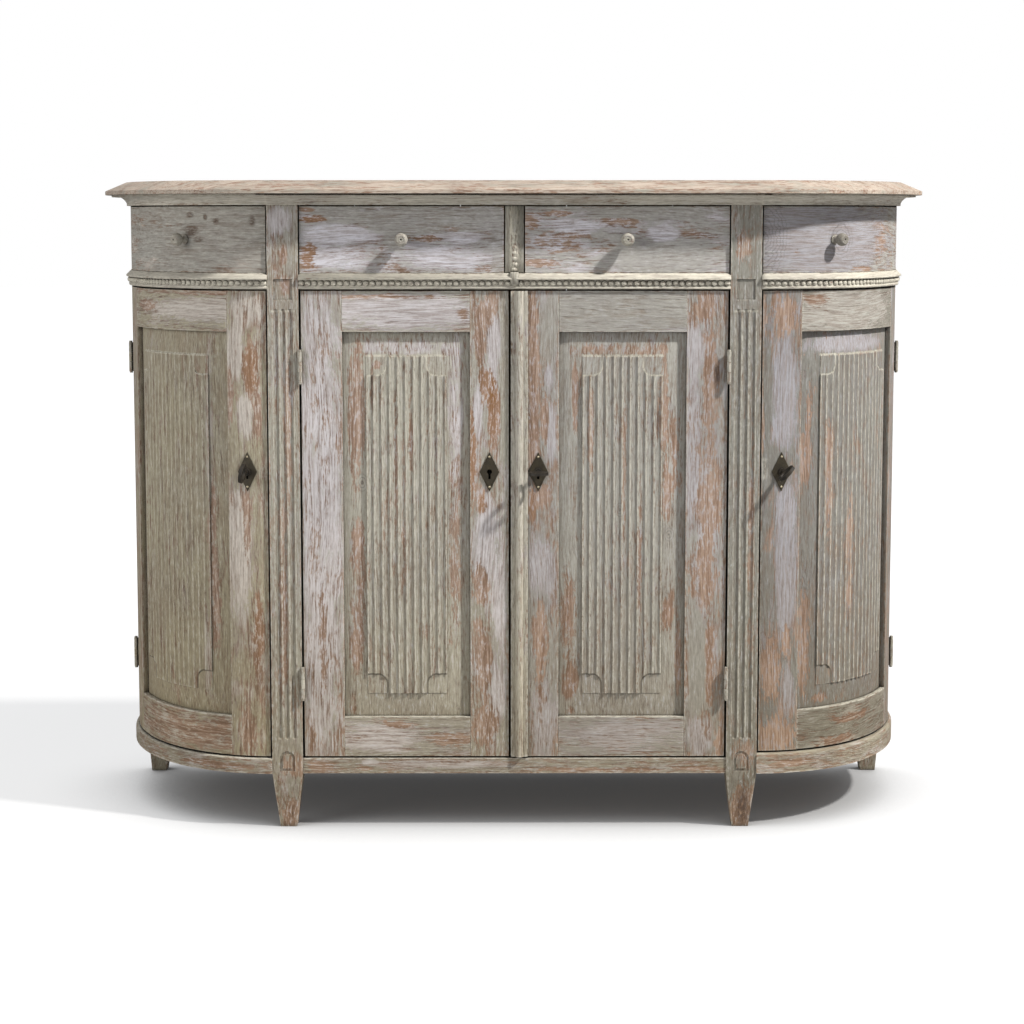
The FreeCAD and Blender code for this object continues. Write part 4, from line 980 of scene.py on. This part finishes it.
PINE = (tint(162, 134, 102), tint(122, 93, 66))
OLD_PINE = (tint(158, 134, 106), tint(112, 88, 66))
BACK_BOARD = 0.178
raw_timber("partitions", 1, 0, 101, *PINE)
raw_timber("back_boards", 1, 0, 102, *OLD_PINE, board_w=BACK_BOARD)
for number, node in enumerate(("bottom_boards", "drawer_decks", "shelves")):
    raw_timber(node, 0, 0, 103 + number, *PINE)
for number, node in enumerate(("shelf_cleats", "drawer_guides")):
    raw_timber(node, 0, 1, 106 + number, *PINE)
for number, side in enumerate(SIDES):
    raw_timber(side + "_drawer_box", 0, 1, 110 + number, *PINE)
print("raw timber ready")

# %% [markdown]
# Escutcheons are dark bronze and the locks and keys are iron. Both are one tarnish group: cloudy dark
# metal, brighter on rubbed edges, duller in hollows.

# %% Metal
CLOUD_SCALE = 90.0
PIT_SCALE = 900.0
SHINE_RANGE = (0.35, 0.75, 0.0, 0.55)
POLISH_RANGE = (0.3, 0.7, 0.62, 0.42)
RUBBED_SHARE = 0.5
SOOT_SHARE = 0.7
PIT_DEPTH = 0.00015
METAL_REACH = {"Edge Reach": 0.0012, "Hollow Reach": 0.006}

tarnish, into, out = new_group(
    "tarnished_metal",
    {"Place": ("vector", (0, 0, 0)), "Edge": ("value", 0.0), "Hollow": ("value", 0.0),
     "Dark": ("colour", (0, 0, 0, 1)), "Bright": ("colour", (0.2, 0.2, 0.2, 1))},
    {"Colour": "colour", "Roughness": "value", "Height": "value"},
)
cloud = wire(tarnish, "TexNoise", {"Vector": into["Place"], "Scale": CLOUD_SCALE, "Detail": 4.0,
                                   "Roughness": 0.65}).outputs[0]
pits = wire(tarnish, "TexNoise", {"Vector": into["Place"], "Scale": PIT_SCALE, "Detail": 2.0}).outputs[0]
rubbed = calc(tarnish, "MULTIPLY", into["Edge"], RUBBED_SHARE)
shine = calc(tarnish, "ADD", ramp(tarnish, cloud, *SHINE_RANGE), rubbed, clamp=True)
colour = blend(tarnish, shine, into["Dark"], into["Bright"])
colour = blend(tarnish, calc(tarnish, "MULTIPLY", into["Hollow"], SOOT_SHARE), colour, SHADE_AND_SOOT_BLACK)
tarnish.links.new(colour, out["Colour"])
tarnish.links.new(ramp(tarnish, cloud, *POLISH_RANGE), out["Roughness"])
tarnish.links.new(pits, out["Height"])


def metal(name, dark, bright, metallic):
    material, tree, shader = new_material(name)
    worn = use_group(tree, relief, METAL_REACH)
    skin = use_group(tree, tarnish, {"Place": use_group(tree, front_space)["Place"], "Edge": worn["Edge"],
                                     "Hollow": worn["Hollow"], "Dark": dark, "Bright": bright})
    bump = wire(tree, "Bump", {"Height": skin["Height"], "Distance": PIT_DEPTH})
    feed(tree, shader, skin["Colour"], skin["Roughness"], bump)
    shader.inputs["Metallic"].default_value = metallic
    return material


BRONZE = metal("bronze", tint(44, 38, 26), tint(74, 65, 45), 0.35)
IRON = metal("iron", tint(30, 26, 21), tint(62, 54, 42), 0.4)
metals = []
for node, piece in nodes.items():
    if node.endswith("_escutcheon"):
        metals.append((piece, BRONZE))
    elif node.endswith(("_lock_case", "_lock_bolt", "_key")):
        metals.append((piece, IRON))
for piece, material in metals:
    dress(piece, material)
print("metal pieces:", len(metals))

# %% [markdown]
# Old joinery has no knife-sharp edges. The CAD meshes carry split corners, so a Weld modifier first
# joins them, then a Bevel modifier rounds every edge a little, and Weighted Normal keeps flat faces
# flat. Modifiers leave the CAD mesh itself as it is.


# %% Softened edges
WELD_REACH = 0.00001
SHARP_DEG = 40
EDGE_CUTS = 2
BOARD_EDGE, SMALL_EDGE, METAL_EDGE = 0.0008, 0.0003, 0.00025


def soften(name, width):
    piece = nodes[name]
    weld = piece.modifiers.new("weld", "WELD")
    weld.merge_threshold = WELD_REACH
    bevel = piece.modifiers.new("soft_edge", "BEVEL")
    bevel.width = width
    bevel.segments = EDGE_CUTS
    bevel.limit_method = "ANGLE"
    bevel.angle_limit = math.radians(SHARP_DEG)
    bevel.use_clamp_overlap = True
    piece.modifiers.new("flat_faces", "WEIGHTED_NORMAL")


for name in coats:
    soften(name, SMALL_EDGE if "knob" in name or "hinge" in name else BOARD_EDGE)
for piece, _ in metals:
    soften(piece.name, METAL_EDGE)
print("softened:", len(coats) + len(metals))

# %% [markdown]
# The moulding between drawers and doors carries a row of carved pearls. A Curve with a bevel profile
# could sweep the moulding, and an Array could repeat a pearl, but a mesh written in code keeps the
# pearls evenly spaced round the curve and worn one by one.


# %% Lines that the mouldings follow
CENTRE_HALF = 0.326
SIDE_RUN = 0.093
END_STEPS = 48


def end_line():
    line = [end_station(QUARTER * i / END_STEPS) for i in range(END_STEPS + 1)]
    point, outward = line[-1]
    line.append((point + Vector((0, SIDE_RUN, 0)), outward))
    return line


def middle_line():
    outward = Vector((0, -1, 0))
    return [(Vector((x, FACE_Y, 0)), outward) for x in (-CENTRE_HALF, CENTRE_HALF)]


def spaced(line, pitch):
    """Places along a line at an even pitch, with their outward directions."""
    lengths = [(b[0] - a[0]).length for a, b in zip(line, line[1:])]
    count = int(sum(lengths) / pitch)
    step = sum(lengths) / count
    places = []
    index, passed = 0, 0.0
    for i in range(count):
        target = step * (i + 0.5)
        while passed + lengths[index] < target:
            passed += lengths[index]
            index += 1
        share = (target - passed) / lengths[index]
        (p0, n0), (p1, n1) = line[index], line[index + 1]
        places.append((p0.lerp(p1, share), n0.lerp(n1, share).normalized()))
    return places


print("end line points:", len(end_line()))

# %% [markdown]
# The moulding itself is one section carried along such a line. Each pearl is a squashed ball on it,
# a little more or less rubbed than its neighbour.

# %% Pearl moulding
PEARL_PITCH = 0.0097
Z_DOOR = 0.830
PEARL_Z = Z_DOOR + 0.0090
MOULDING = [(0.0, 0.0), (0.0038, 0.0), (0.0047, 0.0020), (0.0042, 0.0040), (0.0034, 0.0048), (0.0034, 0.0134),
            (0.0078, 0.0138), (0.0091, 0.0147), (0.0087, 0.0164), (0.0010, 0.0240), (0.0, 0.0240)]
PEARL_RADII = (0.0047, 0.0043, 0.0045)
PEARL_OUT = 0.0028
PEARL_DRIFT = 0.0003
PEARL_RUB = (0.86, 1.04)
WEAR_SEED = 12
wear = random.Random(WEAR_SEED)


def sweep(bm, profile, line, base_z):
    """Carry a moulding section of (outward, up) points along a line and close its ends."""
    rings = []
    for point, outward in line:
        rings.append([bm.verts.new(point + outward * n + Vector((0, 0, base_z + z))) for n, z in profile])
    for first, second in zip(rings, rings[1:]):
        for i in range(len(profile)):
            j = (i + 1) % len(profile)
            bm.faces.new((first[i], second[i], second[j], first[j]))
    bm.faces.new(rings[0])
    bm.faces.new(list(reversed(rings[-1])))


def pearl(bm, centre, outward, radii):
    """Slightly squashed ball; radii are along the moulding, outwards and upwards."""
    side = Vector((-outward.y, outward.x, 0))
    turn = Matrix((side, outward, Vector((0, 0, 1)))).transposed().to_4x4()
    size = Matrix.Diagonal((*radii, 1.0))
    seat = Matrix.Translation(centre) @ turn @ size
    bmesh.ops.create_icosphere(bm, subdivisions=2, radius=1.0, matrix=seat)


def add_piece(name, bm, body, material, slot, *replaced):
    """Turn a bmesh into a piece that rides on a body."""
    bmesh.ops.recalc_face_normals(bm, faces=bm.faces)
    mesh = bpy.data.meshes.new(name)
    bm.to_mesh(mesh)
    bm.free()
    for face in mesh.polygons:
        face.use_smooth = True
    mesh.materials.append(material)
    piece = bpy.data.objects.new(name, mesh)
    bpy.context.scene.collection.objects.link(piece)
    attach(piece, body)
    if replaced:
        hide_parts(*replaced)
    return piece


def join_in(whole, part):
    """Add one bmesh to another and free it."""
    carrier = bpy.data.meshes.new("carrier")
    part.to_mesh(carrier)
    part.free()
    whole.from_mesh(carrier)
    bpy.data.meshes.remove(carrier)


def flip_x(bm):
    bmesh.ops.transform(bm, matrix=Matrix.Diagonal((-1, 1, 1, 1)), verts=bm.verts)


def pearl_moulding(line, mirrored=False):
    bm = bmesh.new()
    sweep(bm, MOULDING, line, Z_DOOR)
    for point, outward in spaced(line, PEARL_PITCH):
        rub = wear.uniform(*PEARL_RUB)
        drift = wear.uniform(-PEARL_DRIFT, PEARL_DRIFT)
        centre = point + outward * PEARL_OUT + Vector((0, 0, PEARL_Z + drift))
        along, out_radius, up = PEARL_RADII
        pearl(bm, centre, outward, (along, out_radius * rub, up))
    if mirrored:
        flip_x(bm)
    return bm


whole = bmesh.new()
for line, mirrored in ((middle_line(), False), (end_line(), False), (end_line(), True)):
    join_in(whole, pearl_moulding(line, mirrored))
moulding = add_piece("pearl_moulding", whole, "carcass", coats["bead_mouldings"], "painted_wood",
                     "bead_mouldings")
print("pearl moulding faces:", len(moulding.data.polygons))

# %% [markdown]
# The upright between the middle drawers carries a narrow half-round strip. Its lower part is carved
# into the same pearls, its upper part is rubbed smooth, and its foot rides over the moulding.

# %% Muntin pearls
MUNTIN_HALF = 0.014
STRIP_HALF = 0.0062
STRIP_RISE = 0.0034
STRIP_STEPS = 8
STRIP_FOOT = 0.837
FOOT_OUT = 0.0062
Z_DRAWER = 0.854
Z_CORNICE = 0.956
RAIL_D = 0.025
STRIP_SINK = 0.001
STRIP_BASE = 0.0004
FOOT_LAP = 0.002
STRING_PITCH = 0.0082
STRING_SHARE = 0.62
STRING_RADII = (0.0050, 0.0040, 0.0039)
STRING_OUT = 0.0014
STRING_START_SHARE = 0.7
STRING_RUB = (0.85, 1.0)


def upright_bar(bm, section, low_z, high_z):
    """Upright bar with a section of (x, outward) points."""
    low = [bm.verts.new((x, FACE_Y - n, low_z)) for x, n in section]
    high = [bm.verts.new((x, FACE_Y - n, high_z)) for x, n in section]
    for i in range(len(section)):
        j = (i + 1) % len(section)
        bm.faces.new((low[i], low[j], high[j], high[i]))
    bm.faces.new(low)
    bm.faces.new(high)


def half_round(base):
    arc = [math.pi * i / STRIP_STEPS for i in range(STRIP_STEPS + 1)]
    front = [(-STRIP_HALF * math.cos(a), base + STRIP_RISE * math.sin(a)) for a in arc]
    return [(-STRIP_HALF, -STRIP_SINK)] + front + [(STRIP_HALF, -STRIP_SINK)]


bm = bmesh.new()
outward = Vector((0, -1, 0))
post = [(-MUNTIN_HALF, -RAIL_D), (-MUNTIN_HALF, 0), (MUNTIN_HALF, 0), (MUNTIN_HALF, -RAIL_D)]
upright_bar(bm, post, Z_DRAWER, Z_CORNICE)
upright_bar(bm, half_round(STRIP_BASE), Z_DRAWER, Z_CORNICE)
upright_bar(bm, half_round(FOOT_OUT), STRIP_FOOT, Z_DRAWER + FOOT_LAP)
count = int((Z_CORNICE - Z_DRAWER) * STRING_SHARE / STRING_PITCH)
for i in range(count):
    centre = Vector((0, FACE_Y - STRING_OUT, Z_DRAWER + (i + STRING_START_SHARE) * STRING_PITCH))
    along, out_radius, up = STRING_RADII
    pearl(bm, centre, outward, (along, out_radius * wear.uniform(*STRING_RUB), up))
add_piece("pearl_muntin", bm, "carcass", coats["drawer_muntin"], "painted_wood", "drawer_muntin")
print("muntin pearls:", count)

# %% [markdown]
# The knobs were turned on a lathe, so they are turned here too: a half outline is spun round its
# axis. The front has a ring groove and a small centre hole where the lathe's point held it.

# %% Turned knobs
KNOB_OUTLINE = [(0.0, 0.0066), (0.0012, 0.0072), (0.0024, 0.0066), (0.0034, 0.0047), (0.0060, 0.0040),
                (0.0086, 0.0046), (0.0108, 0.0070), (0.0134, 0.0091), (0.0170, 0.0100), (0.0206, 0.0094),
                (0.0232, 0.0080), (0.0248, 0.0064), (0.0252, 0.0054), (0.0244, 0.0048), (0.0246, 0.0040),
                (0.0250, 0.0030), (0.0248, 0.0016), (0.0232, 0.0012), (0.0222, 0.0)]
KNOB_STEPS = 40
KNOB_Z = 0.90425
KNOB_X = 0.170
KNOB_DEG = {"left_end": 31, "right_end": 27}


def turned(outline, steps, point, outward):
    """Spin an outline of (distance out, radius) points round its axis."""
    side = Vector((-outward.y, outward.x, 0))
    up = Vector((0, 0, 1))
    bm = bmesh.new()
    rings = []
    for n, r in outline:
        centre = point + outward * n
        if r == 0:
            rings.append([bm.verts.new(centre)])
            continue
        ring = []
        for i in range(steps):
            a = 2 * math.pi * i / steps
            ring.append(bm.verts.new(centre + side * (r * math.cos(a)) + up * (r * math.sin(a))))
        rings.append(ring)
    for first, second in zip(rings, rings[1:]):
        for i in range(steps):
            j = (i + 1) % steps
            if len(second) == 1:
                bm.faces.new((first[i], first[j], second[0]))
            else:
                bm.faces.new((first[i], first[j], second[j], second[i]))
    bm.faces.new(rings[0])
    return bm


def knob_spot(side):
    """Place and direction of a drawer's knob."""
    if side.startswith("centre"):
        return Vector((KNOB_X, FACE_Y, KNOB_Z)), Vector((0, -1, 0))
    point, outward = end_station(math.radians(KNOB_DEG[side]))
    return point + Vector((0, 0, KNOB_Z)), outward


for side in SIDES:
    point, outward = knob_spot(side)
    if "left" in side:
        point.x, outward.x = -point.x, -outward.x
    node = side + "_drawer_knob"
    add_piece(side + "_turned_knob", turned(KNOB_OUTLINE, KNOB_STEPS, point, outward), side + "_drawer",
              coats[node], "painted_wood", node)
print("turned knobs:", len(SIDES))

# %% [markdown]
# Each escutcheon is held by two small round-headed pins.

# %% Escutcheon pins
PIN_OUTLINE = [(0.0, 0.0018), (0.0005, 0.0017), (0.0009, 0.0012), (0.0011, 0.0)]
PLATE_FACE = 0.0018
PIN_RISE = 0.023
PIN_STEPS = 16
BRASS = metal("brass_pin", tint(120, 108, 84), tint(186, 176, 150), 0.6)


def plate_seat(side):
    """Middle of an escutcheon on the face of its door, and the way it faces, read from its mesh."""
    corners = [vertex.co for vertex in nodes[side + "_door_escutcheon"].data.vertices]
    x, z = ((min(c[axis] for c in corners) + max(c[axis] for c in corners)) / 2 for axis in (0, 2))
    if abs(x) <= POST_X:
        return Vector((x, FACE_Y, z)), Vector((0, -1, 0))
    point, outward = end_station(math.asin((abs(x) - POST_X) / END_REACH))
    point.x, outward.x = math.copysign(point.x, x), math.copysign(outward.x, x)
    return point + Vector((0, 0, z)), outward


for side in SIDES:
    seat, outward = plate_seat(side)
    both = bmesh.new()
    for rise in (-PIN_RISE, PIN_RISE):
        head = seat + Vector((0, 0, rise)) + outward * PLATE_FACE
        join_in(both, turned(PIN_OUTLINE, PIN_STEPS, head, outward))
    add_piece(side + "_escutcheon_pins", both, side + "_door", BRASS, "bronze")
print("pins:", 2 * len(SIDES))

# %% [markdown]
# The floor is a wide pale sheet that takes the cabinet's shadow. Camera rays see it, and the world
# behind it, as white, which keeps the background clean without more light on the cabinet. An Ambient
# Occlusion node dims that white glow under the cabinet, which paints a soft shadow there over the real one.

# %% Floor and background
FLOOR_HALF = 30.0
FLOOR_GREY = (0.45, 0.45, 0.45, 1)
SEEN_GREY = (0.27, 0.27, 0.27, 1)
WHITE = (1, 1, 1, 1)
SKY_TINT = (0.92, 0.98, 1.08, 1)
SKY_RANGE = (0.0, 1.0, 0.18, 0.34)
SHADE_REACH = 0.30
SHADE_FEELERS = 16
SHADE_RANGE = (0.16, 0.90, 0.045, 0.72)
FAR_RANGE = (1.0, 3.0, 0.0, 0.30)
floor_mesh = bpy.data.meshes.new("floor")
floor_mesh.from_pydata([(-FLOOR_HALF, -FLOOR_HALF, 0), (FLOOR_HALF, -FLOOR_HALF, 0),
                        (FLOOR_HALF, FLOOR_HALF, 0), (-FLOOR_HALF, FLOOR_HALF, 0)], [], [(0, 1, 2, 3)])
floor = bpy.data.objects.new("floor", floor_mesh)
bpy.context.scene.collection.objects.link(floor)
floor_paint = bpy.data.materials.new("floor")
floor_paint.use_nodes = True
tree = floor_paint.node_tree
tree.nodes.remove(tree.nodes["Principled BSDF"])
seen = wire(tree, "LightPath").outputs["Is Camera Ray"]
plain = wire(tree, "BsdfDiffuse", {"Color": FLOOR_GREY}).outputs[0]
bright = wire(tree, "BsdfDiffuse", {"Color": SEEN_GREY}).outputs[0]
distance = vector(tree, "LENGTH", wire(tree, "TexCoord").outputs["Object"])
# Painted shadow: the glow fades where the floor is closed in under the cabinet.
open_sky = wire(tree, "AmbientOcclusion", {"Distance": SHADE_REACH}, samples=SHADE_FEELERS).outputs["AO"]
lift = calc(tree, "ADD", ramp(tree, open_sky, *SHADE_RANGE), ramp(tree, distance, *FAR_RANGE))
glow = wire(tree, "Emission", {"Color": WHITE, "Strength": lift}).outputs[0]
shown = wire(tree, "AddShader", {0: bright, 1: glow}).outputs[0]
mixed = wire(tree, "MixShader", {0: seen, 1: plain, 2: shown}).outputs[0]
tree.links.new(mixed, tree.nodes["Material Output"].inputs["Surface"])
floor_mesh.materials.append(floor_paint)

world = bpy.data.worlds.new("studio")
bpy.context.scene.world = world
world.use_nodes = True
tree = world.node_tree
paths = wire(tree, "LightPath").outputs
seen = calc(tree, "MAXIMUM", paths["Is Camera Ray"], calc(tree, "MAXIMUM", paths["Is Glossy Ray"],
                                                        paths["Is Transmission Ray"]))
height = split(tree, wire(tree, "TexCoord").outputs["Generated"])[2]
sky = ramp(tree, height, *SKY_RANGE)
strength = wire(tree, "Mix", {0: seen, 2: sky, 3: 1.0}).outputs[0]
tree.links.new(strength, tree.nodes["Background"].inputs["Strength"])
cool = blend(tree, seen, SKY_TINT, WHITE)
tree.links.new(cool, tree.nodes["Background"].inputs["Color"])
print("floor and background ready")

# %% [markdown]
# One lamp stands high on the right and rakes across the front, so the raised grain, the flutes and
# the knobs throw short shadows to the lower left. A broad, weak sheet of light from the front left
# fills in.


# %% Lamps
def lamp(name, place, target, size, watts, colour):
    data = bpy.data.lights.new(name, "AREA")
    data.shape = "DISK"
    data.size = size
    data.energy = watts
    data.color = colour
    piece = bpy.data.objects.new(name, data)
    piece.location = place
    piece.rotation_euler = (Vector(target) - Vector(place)).to_track_quat("-Z", "Y").to_euler()
    bpy.context.scene.collection.objects.link(piece)


LAMP_TINT = (1.0, 0.98, 0.95)
lamp("key_lamp", place=(3.9, -2.1, 5.0), target=(0.0, -0.2, 0.5), size=0.42, watts=590, colour=LAMP_TINT)
lamp("fill_lamp", place=(-3.2, -2.2, 1.6), target=(0.0, 0.0, 0.5), size=2.5, watts=62, colour=LAMP_TINT)
